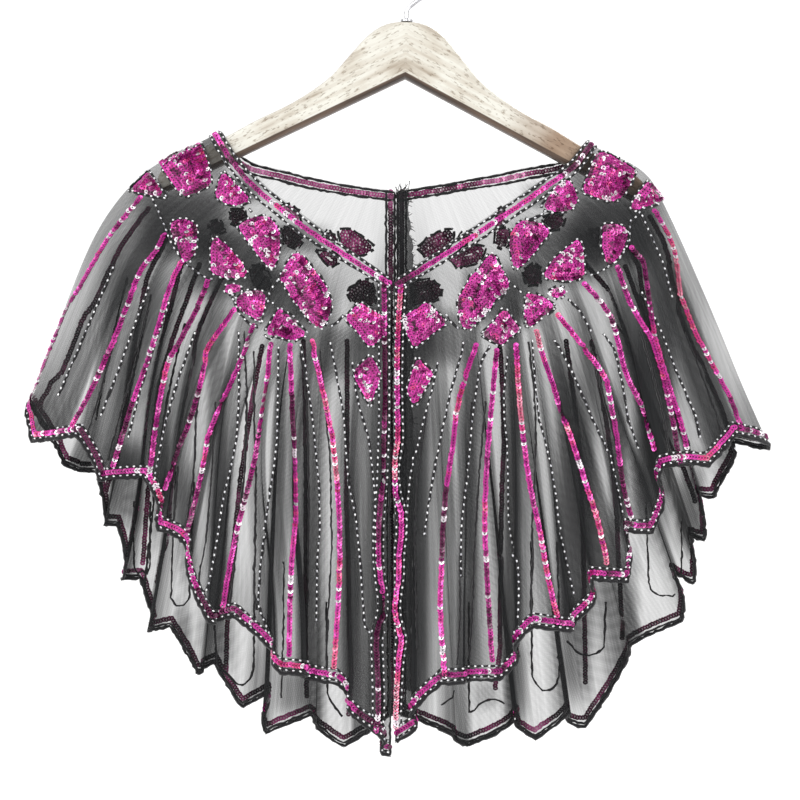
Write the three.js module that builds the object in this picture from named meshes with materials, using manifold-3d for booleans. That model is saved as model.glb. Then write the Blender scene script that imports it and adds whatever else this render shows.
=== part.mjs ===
// A sequinned tulle capelet hanging open-necked on a wooden hanger, in millimetres.
// X runs to the viewer's right, the garment's front faces -Y and Z points up. The origin is
// the inside top of the hook, where a rail carries the hanger.
//
// The capelet is two halves. Each is one cloth from the front edge over the shoulder to the
// centre back, where a seam joins them. A half is a thin wall on a draped surface: sections
// say where the neck, the yoke's lower edge and the hem run, and folds gather that surface
// into flat bands that lap over each other and deepen towards a saw-toothed hem.
import * as THREE from 'three';
import { mergeVertices } from 'three/addons/utils/BufferGeometryUtils.js';
import Module from 'manifold-3d';

const wasm = await Module();
wasm.setup();

// Cloth
const WALL = 1;
const SEAM_GAP = 0.3;
const TOOTH_DEPTH = 26;
const YOKE_LEVEL = 0.25;
const FOLD_SPREAD = 8;
const FOLD_STEP = 0.6;
const FOLD_START = 0.35;
const MOST_MITRE = 4;
const LEAST_STEP = 0.09;
const SIDE_TURN = 1.5;
const BACK_END = 27;

// How finely the cloth is divided
const STEPS_PER_BAND = 3;
const LEVELS = [0, 0.05, 0.11, 0.18, 0.26, 0.38, 0.52, 0.68, 0.84, 1];
const SLOPE_STEP = 1e-3;
const SHOULDER_STEPS = [-1, -0.7, -0.45, -0.2, 0, 0.2, 0.45, 0.7, 1];

// Back seam and neck fastener
const SEAM_SPAN = 0.32;
const SEAM_CLEAR = 0.45;
const SEAM_LOW_LEVEL = 0.95;
const SEAM_LEVELS = 12;
const BAR_RADIUS = 1.1;
const BAR_SWELL = 1.35;
const BAR_LEVEL = 0.012;
const BAR_END_GAP = 0.55;

// Hanger
const HANGER_TILT = THREE.MathUtils.degToRad(1.5);
const HANGER_SHIFT = 4;
const WOOD_THICKNESS = 14;
const WOOD_BEVEL = 4;
const WOOD_TOP = -60;
const WOOD_NOTCH = -110.5;
const OUTLINE_POINTS = 44;
const WIRE_RADIUS = 2;
const HOOK_INSIDE_RADIUS = 21;
const HOOK_DEPTH_IN_WOOD = 20;
const HOOK_STEPS = 46;
const ROUND_SIDES = 10;
const COLLAR_RADIUS = 5.5;
const COLLAR_HEIGHT = 3;
const BORE_SIDES = 20;

const table = (names, rows) =>
  rows.map((row) => Object.fromEntries(names.map((name, i) => [name, row[i]])));

// The neck edge. `along` is 0 at the front edge, 1 on the shoulder and 2 at the centre back.
const NECK_COLUMNS = ['along', 'x', 'y', 'z'];

const LEFT_NECK = table(NECK_COLUMNS, [
  [0.00, -12, -20, -289],
  [0.25, -52, -20, -261],
  [0.50, -92, -19, -231],
  [0.73, -127, -17, -203],
  [0.90, -151, -12, -175],
  [0.94, -158, -9.5, -164],
  [0.97, -161, -6, -159],
  [1.00, -163, 0, -157],
  [1.03, -162, 6, -157],
  [1.06, -160, 9.5, -161],
  [1.12, -152, 12, -171],
  [1.44, -102, 15, -191],
  [1.70, -57, 17, -201],
  [2.00, -7, 18, -208],
]);

const RIGHT_NECK = table(NECK_COLUMNS, [
  [0.00, -7, -20, -290],
  [0.25, 34, -20, -262],
  [0.50, 77, -19, -233],
  [0.75, 118, -17, -205],
  [0.90, 149, -12, -182],
  [0.94, 156, -9.5, -173],
  [0.97, 160, -6, -169],
  [1.00, 162, 0, -166],
  [1.03, 161, 6, -167],
  [1.06, 158, 9.5, -170],
  [1.12, 152, 12, -176],
  [1.40, 105, 15, -188],
  [1.70, 49, 17, -199],
  [2.00, -7, 18, -208],
]);

// The drape without its folds. `at` counts half teeth of the hem from the front edge: even
// numbers are tips and odd ones the notches between them. `neck` is a place on the neck edge.
const SECTION_COLUMNS = ['at', 'neck', 'yokeX', 'yokeY', 'yokeZ', 'hemX', 'hemY', 'hemZ'];

const LEFT_SECTIONS = table(SECTION_COLUMNS, [
  [0, 0.00, -12, -24, -386, -11, -34, -695],
  [1, 0.07, -52, -26, -369, -60, -37, -659],
  [2, 0.17, -99, -27, -348, -104, -39, -620],
  [4, 0.30, -120, -27, -342, -173, -40, -579],
  [6, 0.45, -143, -26, -321, -206, -38, -500],
  [8, 0.62, -188, -22, -276, -262, -32, -457],
  [10, 0.81, -216, -16, -239, -319, -20, -424],
  [10.5, 0.92, -225, -12, -217, -331, -11, -416],
  [10.8, 0.97, -234, -7, -201, -338, -5, -413],
  [11, 1.00, -236, 0, -198, -341, 0, -412],
  [11.2, 1.03, -236, 7, -199, -339, 5, -414],
  [11.5, 1.08, -229, 12, -212, -331, 11, -422],
  [12, 1.17, -222, 16, -229, -309, 19, -445],
  [14, 1.28, -207, 21, -252, -274, 31, -498],
  [16, 1.39, -187, 24, -270, -254, 38, -550],
  [18, 1.49, -163, 26, -282, -232, 42, -598],
  [20, 1.59, -141, 27, -293, -192, 44, -637],
  [22, 1.69, -113, 27, -300, -154, 45, -669],
  [24, 1.79, -84, 27, -305, -114, 45, -691],
  [26, 1.91, -45, 26, -309, -53, 44, -705],
  [27, 2.00, -7, 25, -310, -7, 42, -698],
]);

const RIGHT_SECTIONS = table(SECTION_COLUMNS, [
  [0, 0.00, -8, -24, -386, -8, -34, -683],
  [1, 0.07, 32, -26, -369, 33, -37, -657],
  [2, 0.17, 78, -27, -351, 78, -39, -628],
  [4, 0.30, 112, -27, -339, 146, -40, -587],
  [6, 0.44, 136, -26, -318, 189, -38, -544],
  [8, 0.60, 169, -24, -288, 210, -34, -502],
  [10, 0.78, 197, -19, -254, 265, -25, -444],
  [11, 0.91, 213, -13, -231, 295, -13, -441],
  [11.6, 0.97, 220, -7, -214, 313, -6, -433],
  [12, 1.00, 224, 0, -207, 320, 0, -430],
  [12.3, 1.03, 223, 7, -210, 319, 6, -436],
  [13, 1.10, 218, 13, -228, 306, 15, -448],
  [14, 1.20, 208, 18, -243, 284, 25, -475],
  [16, 1.31, 187, 22, -263, 270, 34, -514],
  [18, 1.42, 163, 25, -277, 263, 39, -555],
  [20, 1.53, 139, 27, -288, 243, 43, -589],
  [22, 1.64, 110, 27, -298, 173, 45, -687],
  [24, 1.76, 75, 27, -304, 124, 45, -696],
  [26, 1.89, 33, 26, -309, 59, 44, -704],
  [27, 2.00, -7, 25, -310, -7, 42, -698],
]);

// The folds: where each one lies, how far it laps over its neighbour at the hem, and how far
// the band that follows stands out there from the plain drape.
const FOLD_COLUMNS = ['at', 'lap', 'out'];

const LEFT_FOLDS = table(FOLD_COLUMNS, [
  [0.15, 13, 5],
  [0.72, 12, -5],
  [1.60, 20, 8],
  [2.20, 8, -3],
  [3.70, 22, 7],
  [5.00, 14, -3],
  [6.30, 14, 4],
  [8.00, 9, 9],
  [9.60, -8, 1],
  [12.4, 12, 6],
  [14.2, 22, -6],
  [16.0, 26, 6],
  [18.0, 20, -6],
  [20.4, 16, 6],
  [23.4, 24, -6],
  [25.2, 8, 5],
  [26.4, -6, 0],
]);

const RIGHT_FOLDS = table(FOLD_COLUMNS, [
  [0.40, 18, 5],
  [1.42, 12, -4],
  [2.50, 20, 7],
  [3.90, 16, -4],
  [4.80, 18, 4],
  [6.60, 12, -3],
  [8.70, 26, 7],
  [10.4, -8, 2],
  [13.2, 12, 6],
  [15.0, 22, -5],
  [17.0, 22, 6],
  [19.2, 18, -6],
  [21.0, 20, 6],
  [22.8, 16, -5],
  [24.8, 20, 6],
  [26.2, 8, 0],
]);

// side is 1 where X grows away from the front edge, sideAt is the section at the shoulder, and
// lean is how far the slope of the yoke carries on below it.
const HALVES = [
  {
    name: 'half_left', side: -1, sideAt: 11, lean: 0.6,
    neck: LEFT_NECK, sections: LEFT_SECTIONS, folds: LEFT_FOLDS,
  },
  {
    name: 'half_right', side: 1, sideAt: 12, lean: 0.1,
    neck: RIGHT_NECK, sections: RIGHT_SECTIONS, folds: RIGHT_FOLDS,
  },
];

// One arm of the hanger, from its middle outwards: its upper edge, then its lower edge as far
// as the straight stretch that meets the other arm's in a notch.
const ARM_COLUMNS = ['x', 'z'];

const ARM_TOP = table(ARM_COLUMNS, [
  [0, WOOD_TOP],
  [20, -63.5],
  [35, -74],
  [48, -89],
  [68, -112],
  [100, -135],
  [132, -151.5],
  [158, -166.5],
  [190, -182.5],
  [211, -194.5],
]);

const ARM_UNDERSIDE = table(ARM_COLUMNS, [
  [218, -205],
  [213, -216],
  [188, -205],
  [138, -180.5],
]);

const MATERIALS = {
  tulle: new THREE.MeshStandardMaterial({ color: 0x55565a, roughness: 0.8, side: THREE.DoubleSide }),
  thread: new THREE.MeshStandardMaterial({ color: 0x141416, roughness: 0.9 }),
  wood: new THREE.MeshStandardMaterial({ color: 0xd9cbb8, roughness: 0.5 }),
  steel: new THREE.MeshStandardMaterial({ color: 0xc4c6ca, roughness: 0.25, metalness: 1 }),
};

const { clamp, smoothstep, lerp } = THREE.MathUtils;

// A smooth curve through a table's rows, in order of one column, as a function that gives
// all the columns at a place on it.
function curveThrough(rows, key) {
  const names = Object.keys(rows[0]).filter((name) => name !== key);
  const places = rows.map((row) => row[key]);
  const slopes = Object.fromEntries(names.map((name) => {
    const steps = rows.slice(1).map((row, i) => (row[name] - rows[i][name]) / (places[i + 1] - places[i]));
    return [name, rows.map((_, i) => {
      if (i === 0 || i === steps.length) return steps[Math.min(i, steps.length - 1)];
      const before = places[i] - places[i - 1];
      const after = places[i + 1] - places[i];
      return (steps[i - 1] * after + steps[i] * before) / (before + after);
    })];
  }));
  return (place) => {
    let i = places.findIndex((p) => p > place) - 1;
    if (i < 0) i = place < places[0] ? 0 : places.length - 2;
    const span = places[i + 1] - places[i];
    const u = (place - places[i]) / span;
    return Object.fromEntries(names.map((name) => [
      name,
      hermite(rows[i][name], rows[i + 1][name], slopes[name][i] * span, slopes[name][i + 1] * span, u),
    ]));
  };
}

function hermite(start, end, startSlope, endSlope, u) {
  const u2 = u * u;
  const u3 = u2 * u;
  return (2 * u3 - 3 * u2 + 1) * start + (u3 - 2 * u2 + u) * startSlope
    + (3 * u2 - 2 * u3) * end + (u3 - u2) * endSlope;
}

// How far below or above the plain hem the cut edge lies: a tip at even places, a notch at odd
function toothDrop(at) {
  const phase = at - 2 * Math.floor(at / 2);
  return TOOTH_DEPTH * (Math.abs(phase - 1) - 0.5);
}

// The draped surface of one half. place(c, v) is a point of it: c runs along the bands, one
// for each fold corner, and v is 0 at the neck and 1 at the cut hem.
function drape(half) {
  const neckAt = curveThrough(half.neck, 'along');
  const sectionAt = curveThrough(half.sections, 'at');

  // One line of the plain drape, from neck to hem, at level t
  const columnPoint = (at, t) => {
    const s = sectionAt(at);
    const n = neckAt(s.neck);
    const axis = (start, middle, end) => {
      const upper = (middle - start) / YOKE_LEVEL;
      const lower = (end - middle) / (1 - YOKE_LEVEL);
      const bend = lerp(lower, upper, half.lean);
      if (t >= 1) return end + lower * (t - 1);
      if (t < YOKE_LEVEL) {
        return hermite(start, middle, upper * YOKE_LEVEL, bend * YOKE_LEVEL, t / YOKE_LEVEL);
      }
      const span = 1 - YOKE_LEVEL;
      return hermite(middle, end, bend * span, lower * span, (t - YOKE_LEVEL) / span);
    };
    return new THREE.Vector3(
      axis(n.x, s.yokeX, s.hemX),
      axis(n.y, s.yokeY, s.hemY),
      axis(n.z, s.yokeZ, s.hemZ),
    );
  };

  const hemPitch = (at) => {
    const [a, b] = [sectionAt(at - 0.5), sectionAt(at + 0.5)];
    return Math.hypot(a.hemX - b.hemX, a.hemY - b.hemY, a.hemZ - b.hemZ);
  };

  // Two corners for each fold, where the cloth turns back and where it turns on again
  const corners = [{ at: 0, turn: 0, lap: 0, step: 0, out: 0 }];
  for (const fold of half.folds) {
    const pitch = hemPitch(fold.at);
    const step = Math.max((FOLD_STEP * Math.abs(fold.lap)) / 2 / pitch, LEAST_STEP);
    const lap = fold.lap / 2 / pitch;
    const spread = FOLD_SPREAD / pitch;
    const before = corners.at(-1).out;
    corners.push({ at: fold.at, turn: 1, lap, spread, step: -step, out: before });
    corners.push({ at: fold.at, turn: -1, lap, spread, step, out: fold.out });
  }
  corners.push({ at: BACK_END, turn: 0, lap: 0, step: 0, out: 0 });

  // The cloth's place across and down the drape at c, smoothed over each corner
  const across = (c, t) => {
    const depth = clamp(t, 0, 1);
    const deepening = 1 - (1 - depth) ** 2;
    const corner = (i) => {
      const k = corners[Math.max(0, Math.min(corners.length - 1, i))];
      const shift = k.turn ? k.turn * lerp(-k.spread, k.lap, deepening) : 0;
      return [k.at + shift, k.at + k.step, k.out * deepening];
    };
    const i = Math.max(0, Math.min(corners.length - 1, Math.round(c)));
    const u = c - i + 0.5;
    const mirrored = (near, far) => near.map((value, n) => 2 * value - far[n]);
    const middle = corner(i);
    const before = i > 0 ? corner(i - 1) : mirrored(middle, corner(i + 1));
    const after = i < corners.length - 1 ? corner(i + 1) : mirrored(middle, corner(i - 1));
    const weights = [(1 - u) ** 2 / 2, 0.5 + u * (1 - u), u * u / 2];
    return middle.map((_, n) => weights[0] * before[n] + weights[1] * middle[n] + weights[2] * after[n]);
  };

  const place = (c, v) => {
    const downAt = across(c, 1)[1];
    const hem = columnPoint(downAt, 1);
    const length = hem.distanceTo(columnPoint(downAt, 0));
    const t = v * (1 + toothDrop(downAt) / length);
    const [sideAt, , out] = across(c, t);
    const plain = columnPoint(sideAt, t);
    const heightAt = lerp(sideAt, downAt, smoothstep(t, 0, FOLD_START));
    const turn = Math.PI * smoothstep(sideAt, half.sideAt - SIDE_TURN, half.sideAt + SIDE_TURN);
    return new THREE.Vector3(
      plain.x + half.side * (out * Math.sin(turn) + SEAM_GAP / 2),
      plain.y - out * Math.cos(turn),
      columnPoint(heightAt, t).z,
    );
  };

  return { place, end: corners.length - 1, toothPlace: (c) => across(c, 1)[1] };
}

// The places along c where the wall has points: even steps, every tip and notch, and close
// ones where it bends over the hanger's arm
function columnPlaces(surface, sideAt) {
  const placeOf = (at) => {
    let [low, high] = [0, surface.end];
    while (high - low > SLOPE_STEP) {
      const middle = (low + high) / 2;
      if (surface.toothPlace(middle) < at) low = middle;
      else high = middle;
    }
    return low;
  };
  const shoulder = SHOULDER_STEPS.map((step) => sideAt + step);
  const teeth = Array.from({ length: BACK_END - 1 }, (_, i) => i + 1);
  const fixed = [...new Set([...shoulder, ...teeth])].map(placeOf);
  const clear = 0.6 / STEPS_PER_BAND;
  const even = Array.from({ length: surface.end * STEPS_PER_BAND + 1 }, (_, i) => i / STEPS_PER_BAND);
  const kept = even.filter((c) => fixed.every((place) => Math.abs(place - c) > clear));
  return [...new Set([0, ...kept, surface.end, ...fixed])].sort((a, b) => a - b);
}

// How far a wall's two faces lie from its middle at one point. Where the cloth turns back, the
// face inside the turn keeps clear of itself and the one outside stays close.
function faceOffsets(before, point, after, down) {
  const [into, onward] = [point.clone().sub(before), after.clone().sub(point)];
  const normals = [into, onward].map((way) => way.clone().cross(down)).filter((n) => n.lengthSq() > 0);
  const [first, last] = [normals[0].normalize(), normals.at(-1).normalize()];
  const even = first.clone().add(last).normalize();
  const inside = Math.min(1 / Math.max(even.dot(first), 1e-3), MOST_MITRE);
  const turnsToFirst = onward.dot(first) > 0;
  return [
    even.clone().multiplyScalar(turnsToFirst ? inside : 1),
    even.clone().multiplyScalar(turnsToFirst ? -1 : -inside),
  ];
}

// A closed wall over a grid of middle points, half its thickness to each side
function wallGeometry(columns, levels, place, thickness, facing) {
  const rows = levels.length;
  const faces = [[], []];
  columns.forEach((c, i) => {
    for (const v of levels) {
      const [before, after] = [i - 1, i + 1].map((k) => place(columns[clamp(k, 0, columns.length - 1)], v));
      const middle = place(c, v);
      const down = place(c, v + SLOPE_STEP).sub(place(c, v - SLOPE_STEP));
      const offsets = faceOffsets(before, middle, after, down);
      const order = facing > 0 ? [0, 1] : [1, 0];
      order.forEach((k, n) => faces[n].push(offsets[k].multiplyScalar(thickness / 2).add(middle)));
    }
  });
  const positions = faces.flat().flatMap((p) => p.toArray());
  const inner = faces[0].length;
  const index = [];
  const quad = (a, b, c, d) => (facing > 0 ? index.push(a, b, c, a, c, d) : index.push(a, c, b, a, d, c));
  for (let i = 0; i < columns.length - 1; i += 1) {
    for (let j = 0; j < rows - 1; j += 1) {
      const a = i * rows + j;
      quad(a, a + rows, a + rows + 1, a + 1);
      quad(inner + a, inner + a + 1, inner + a + rows + 1, inner + a + rows);
    }
  }
  const rim = [];
  for (let i = 0; i < columns.length - 1; i += 1) rim.push(i * rows);
  for (let j = 0; j < rows - 1; j += 1) rim.push((columns.length - 1) * rows + j);
  for (let i = columns.length - 1; i > 0; i -= 1) rim.push(i * rows + rows - 1);
  for (let j = rows - 1; j > 0; j -= 1) rim.push(j);
  rim.forEach((a, n) => {
    const b = rim[(n + 1) % rim.length];
    quad(b, a, inner + a, inner + b);
  });
  const geometry = new THREE.BufferGeometry();
  geometry.setAttribute('position', new THREE.Float32BufferAttribute(positions, 3));
  geometry.setIndex(index);
  geometry.computeVertexNormals();
  return geometry;
}

// The allowance of the centre-back seam: a folded strip that lies inside the right half
function backSeam(surface) {
  const place = (c, v) => {
    const point = surface.place(surface.end - c * SEAM_SPAN, v * SEAM_LOW_LEVEL);
    return point.setY(point.y - WALL - SEAM_CLEAR);
  };
  const levels = Array.from({ length: SEAM_LEVELS + 1 }, (_, i) => i / SEAM_LEVELS);
  return wallGeometry([0, 0.5, 1], levels, place, WALL, 1);
}

// A short thread bar that holds the two front edges together at the neck
function neckBar(leftSurface, rightSurface) {
  const start = leftSurface.place(0, BAR_LEVEL);
  const end = rightSurface.place(0, BAR_LEVEL);
  const length = start.distanceTo(end) - 2 * BAR_END_GAP;
  const profile = [[0, -0.5], [1, -0.5], [BAR_SWELL, -0.2], [BAR_SWELL, 0.2], [1, 0.5], [0, 0.5]];
  const bar = new THREE.LatheGeometry(
    profile.map(([r, along]) => new THREE.Vector2(r * BAR_RADIUS, along * length)),
    ROUND_SIDES,
  );
  const middle = start.clone().add(end).multiplyScalar(0.5);
  const direction = end.clone().sub(start).normalize();
  const turn = new THREE.Quaternion().setFromUnitVectors(new THREE.Vector3(0, 1, 0), direction);
  return { geometry: bar, middle, turn };
}

function toManifold(geometry) {
  const plain = geometry.clone();
  plain.deleteAttribute('normal');
  plain.deleteAttribute('uv');
  const merged = mergeVertices(plain, 1e-4);
  return new wasm.Manifold(new wasm.Mesh({
    numProp: 3,
    vertProperties: new Float32Array(merged.attributes.position.array),
    triVerts: new Uint32Array(merged.index.array),
  }));
}

function toGeometry(manifold) {
  const mesh = manifold.getMesh();
  const geometry = new THREE.BufferGeometry();
  geometry.setAttribute('position', new THREE.BufferAttribute(new Float32Array(mesh.vertProperties), 3));
  geometry.setIndex(new THREE.BufferAttribute(new Uint32Array(mesh.triVerts), 1));
  geometry.computeVertexNormals();
  return geometry;
}

// The hanger's wood: both arms in one outline, with eased edges and a bore for the hook
function hangerWood() {
  const oneArm = [...ARM_TOP, ...ARM_UNDERSIDE];
  const otherArm = oneArm.slice(1).reverse().map(({ x, z }) => ({ x: -x, z }));
  const corners = [...otherArm, ...oneArm].map(({ x, z }) => new THREE.Vector3(x, z, 0));
  const curve = new THREE.CatmullRomCurve3(corners, false, 'centripetal');
  const outline = curve.getPoints(2 * OUTLINE_POINTS).map(({ x, y }) => new THREE.Vector2(x, y));
  const shape = new THREE.Shape([...outline, new THREE.Vector2(0, WOOD_NOTCH)]);
  const slab = new THREE.ExtrudeGeometry(shape, {
    depth: WOOD_THICKNESS - 2 * WOOD_BEVEL,
    bevelThickness: WOOD_BEVEL,
    bevelSize: WOOD_BEVEL,
    bevelOffset: -WOOD_BEVEL,
    bevelSegments: 2,
  });
  slab.translate(0, 0, WOOD_BEVEL - WOOD_THICKNESS / 2);
  slab.rotateX(Math.PI / 2);
  const boreDepth = HOOK_DEPTH_IN_WOOD + 2 * SEAM_GAP;
  const bore = new THREE.CylinderGeometry(
    WIRE_RADIUS + SEAM_GAP, WIRE_RADIUS + SEAM_GAP, 2 * boreDepth, BORE_SIDES,
  );
  bore.rotateX(Math.PI / 2);
  bore.translate(0, 0, WOOD_TOP);
  return toGeometry(toManifold(slab).subtract(toManifold(bore)));
}

// The hook's wire, from its end in the wood round to its open mouth, in the hanger's frame
function hookWire() {
  const radius = HOOK_INSIDE_RADIUS + WIRE_RADIUS;
  const centre = new THREE.Vector3(-HANGER_SHIFT, 0, -HOOK_INSIDE_RADIUS)
    .applyAxisAngle(new THREE.Vector3(0, 1, 0), -HANGER_TILT);
  const stem = [WOOD_TOP - HOOK_DEPTH_IN_WOOD, WOOD_TOP - 8, WOOD_TOP + COLLAR_HEIGHT + 2, WOOD_TOP + 11];
  const route = stem.map((z) => new THREE.Vector3(0, 0, z));
  for (let degrees = -42; degrees <= 205; degrees += 19) {
    const angle = THREE.MathUtils.degToRad(degrees);
    route.push(new THREE.Vector3(
      centre.x + radius * Math.cos(angle), 0, centre.z + radius * Math.sin(angle),
    ));
  }
  const section = new THREE.Shape(
    Array.from({ length: ROUND_SIDES }, (_, i) => {
      const angle = (2 * Math.PI * i) / ROUND_SIDES;
      return new THREE.Vector2(WIRE_RADIUS * Math.cos(angle), WIRE_RADIUS * Math.sin(angle));
    }),
  );
  const path = new THREE.CatmullRomCurve3(route, false, 'centripetal');
  return new THREE.ExtrudeGeometry(section, { steps: HOOK_STEPS, extrudePath: path });
}

// The steel collar that finishes the wire where it enters the wood
function hookCollar() {
  const inside = WIRE_RADIUS + 1.2 * SEAM_GAP;
  const low = WOOD_TOP + SEAM_GAP;
  const profile = [
    [inside, low], [COLLAR_RADIUS, low], [COLLAR_RADIUS, low + 0.6 * COLLAR_HEIGHT],
    [inside + 1, low + COLLAR_HEIGHT], [inside, low + COLLAR_HEIGHT], [inside, low],
  ];
  const collar = new THREE.LatheGeometry(profile.map(([r, z]) => new THREE.Vector2(r, z)), 2 * ROUND_SIDES);
  return collar.rotateX(Math.PI / 2);
}

function addMesh(parent, name, geometry, material) {
  const mesh = new THREE.Mesh(geometry, material);
  mesh.name = name;
  parent.add(mesh);
  return mesh;
}

const capelet = new THREE.Group();

const surfaces = HALVES.map((half) => {
  const surface = drape(half);
  const wall = wallGeometry(columnPlaces(surface, half.sideAt), LEVELS, surface.place, WALL, -half.side);
  addMesh(capelet, half.name, wall, MATERIALS.tulle);
  return surface;
});

addMesh(capelet, 'back_seam_allowance', backSeam(surfaces[1]), MATERIALS.thread);

const bar = neckBar(...surfaces);
const barMesh = addMesh(capelet, 'neck_thread_bar', bar.geometry, MATERIALS.thread);
barMesh.position.copy(bar.middle);
barMesh.quaternion.copy(bar.turn);

const hanger = new THREE.Group();
hanger.rotation.y = HANGER_TILT;
hanger.position.x = HANGER_SHIFT;
addMesh(hanger, 'hanger_wood', hangerWood(), MATERIALS.wood);
addMesh(hanger, 'hanger_hook', hookWire(), MATERIALS.steel);
addMesh(hanger, 'hook_collar', hookCollar(), MATERIALS.steel);
capelet.add(hanger);

export default capelet;
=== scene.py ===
"""The looks of a sequinned tulle capelet that hangs on a wooden hanger.

Each half of the capelet is one fine sheet of net on the same draped surface as its solid.
Sequins, beads and chain stitch are stamped along paths on that sheet. A path's place on a
sheet is (c, v): c runs along the bands between the folds and v from the neck to the cut hem.
Tables are in millimetres, and objects in metres.
"""

import logging
import math
from dataclasses import dataclass, field
from enum import Enum
from typing import Iterable, NamedTuple, Sequence

import bmesh
import bpy
import numpy as np
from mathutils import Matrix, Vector
from mathutils.bvhtree import BVHTree


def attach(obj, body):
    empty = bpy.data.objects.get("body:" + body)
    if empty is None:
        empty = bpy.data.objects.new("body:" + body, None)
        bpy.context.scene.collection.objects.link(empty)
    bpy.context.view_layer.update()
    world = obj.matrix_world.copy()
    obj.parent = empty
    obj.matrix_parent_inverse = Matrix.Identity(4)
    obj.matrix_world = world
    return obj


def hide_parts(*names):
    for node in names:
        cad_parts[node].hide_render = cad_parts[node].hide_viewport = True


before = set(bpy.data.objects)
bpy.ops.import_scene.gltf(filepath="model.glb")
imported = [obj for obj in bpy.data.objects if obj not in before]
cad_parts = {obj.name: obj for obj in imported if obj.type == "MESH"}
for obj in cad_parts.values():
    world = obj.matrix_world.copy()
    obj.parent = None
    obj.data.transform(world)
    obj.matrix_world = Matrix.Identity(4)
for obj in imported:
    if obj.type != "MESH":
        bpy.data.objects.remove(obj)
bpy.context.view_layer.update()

LOG = logging.getLogger("capelet")

MM = 0.001
ROOT = "root"

Color = tuple[float, float, float]
Stops = tuple[tuple[float, Color], ...]
Bands = tuple[tuple[float, "Trim"], ...]

# Cloth, as in the solids
TOOTH_DEPTH = 26.0
YOKE_LEVEL = 0.25
FOLD_SPREAD = 8.0
FOLD_STEP = 0.6
FOLD_START = 0.35
LEAST_STEP = 0.09
SIDE_TURN = 1.5
BACK_END = 27.0
SEAM_GAP = 0.3

# The photograph's frame, which the camera repeats
FRAME_PIXELS = 800
PIXEL = 0.88 * MM
PICTURE_DEPTH = -0.020
CAMERA_DISTANCE = 1.400
CAMERA_X = -0.0035
CAMERA_Z = -0.397
SENSOR = 0.036

# How close the marks of a line are cast onto the cloth, in pixels, and the change of c that
# shows that a line has passed to another layer
MARK_STEP = 9.0
LAYER_JUMP = 2.6


class NeckPoint(NamedTuple):
    """A point of the neck edge: along is 0 at the front, 1 on the shoulder, 2 at the back."""

    along: float
    x: float
    y: float
    z: float


class Section(NamedTuple):
    """A line of the plain drape, counted in half teeth of the hem from the front edge."""

    at: float
    neck: float
    yoke_x: float
    yoke_y: float
    yoke_z: float
    hem_x: float
    hem_y: float
    hem_z: float


class Fold(NamedTuple):
    """Where a fold lies, how far it laps at the hem, and how far the next band stands out."""

    at: float
    lap: float
    out: float


class Ripple(NamedTuple):
    """A soft wave of the cloth: its share of the height, its waves a band and down, its start."""

    share: float
    across: float
    down: float
    start: float
    by_side: float = 0.0


class Mark(NamedTuple):
    """A place in the photograph, in its pixels."""

    px: float
    py: float


class Shade(NamedTuple):
    """A soft patch of the frame where the net looks darker, from more layers and painted shade.

    Its centre and half sizes are in pixels, and amount adds that many layers of net there.
    """

    px: float
    py: float
    half_width: float
    half_height: float
    amount: float


LEFT_NECK = [NeckPoint(*row) for row in (
    (0.00, -12, -20, -289),
    (0.25, -52, -20, -261),
    (0.50, -92, -19, -231),
    (0.73, -127, -17, -203),
    (0.90, -151, -12, -175),
    (0.94, -158, -9.5, -164),
    (0.97, -161, -6, -159),
    (1.00, -163, 0, -157),
    (1.03, -162, 6, -157),
    (1.06, -160, 9.5, -161),
    (1.12, -152, 12, -171),
    (1.44, -102, 15, -191),
    (1.70, -57, 17, -201),
    (2.00, -7, 18, -208),
)]

RIGHT_NECK = [NeckPoint(*row) for row in (
    (0.00, -7, -20, -290),
    (0.25, 34, -20, -262),
    (0.50, 77, -19, -233),
    (0.75, 118, -17, -205),
    (0.90, 149, -12, -182),
    (0.94, 156, -9.5, -173),
    (0.97, 160, -6, -169),
    (1.00, 162, 0, -166),
    (1.03, 161, 6, -167),
    (1.06, 158, 9.5, -170),
    (1.12, 152, 12, -176),
    (1.40, 105, 15, -188),
    (1.70, 49, 17, -199),
    (2.00, -7, 18, -208),
)]

LEFT_SECTIONS = [Section(*row) for row in (
    (0, 0.00, -12, -24, -386, -11, -34, -695),
    (1, 0.07, -52, -26, -369, -60, -37, -659),
    (2, 0.17, -99, -27, -348, -104, -39, -620),
    (4, 0.30, -120, -27, -342, -173, -40, -579),
    (6, 0.45, -143, -26, -321, -206, -38, -500),
    (8, 0.62, -188, -22, -276, -262, -32, -457),
    (10, 0.81, -216, -16, -239, -319, -20, -424),
    (10.5, 0.92, -225, -12, -217, -331, -11, -416),
    (10.8, 0.97, -234, -7, -201, -338, -5, -413),
    (11, 1.00, -236, 0, -198, -341, 0, -412),
    (11.2, 1.03, -236, 7, -199, -339, 5, -414),
    (11.5, 1.08, -229, 12, -212, -331, 11, -422),
    (12, 1.17, -222, 16, -229, -309, 19, -445),
    (14, 1.28, -207, 21, -252, -274, 31, -498),
    (16, 1.39, -187, 24, -270, -254, 38, -550),
    (18, 1.49, -163, 26, -282, -232, 42, -598),
    (20, 1.59, -141, 27, -293, -192, 44, -637),
    (22, 1.69, -113, 27, -300, -154, 45, -669),
    (24, 1.79, -84, 27, -305, -114, 45, -691),
    (26, 1.91, -45, 26, -309, -53, 44, -705),
    (27, 2.00, -7, 25, -310, -7, 42, -698),
)]

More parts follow.
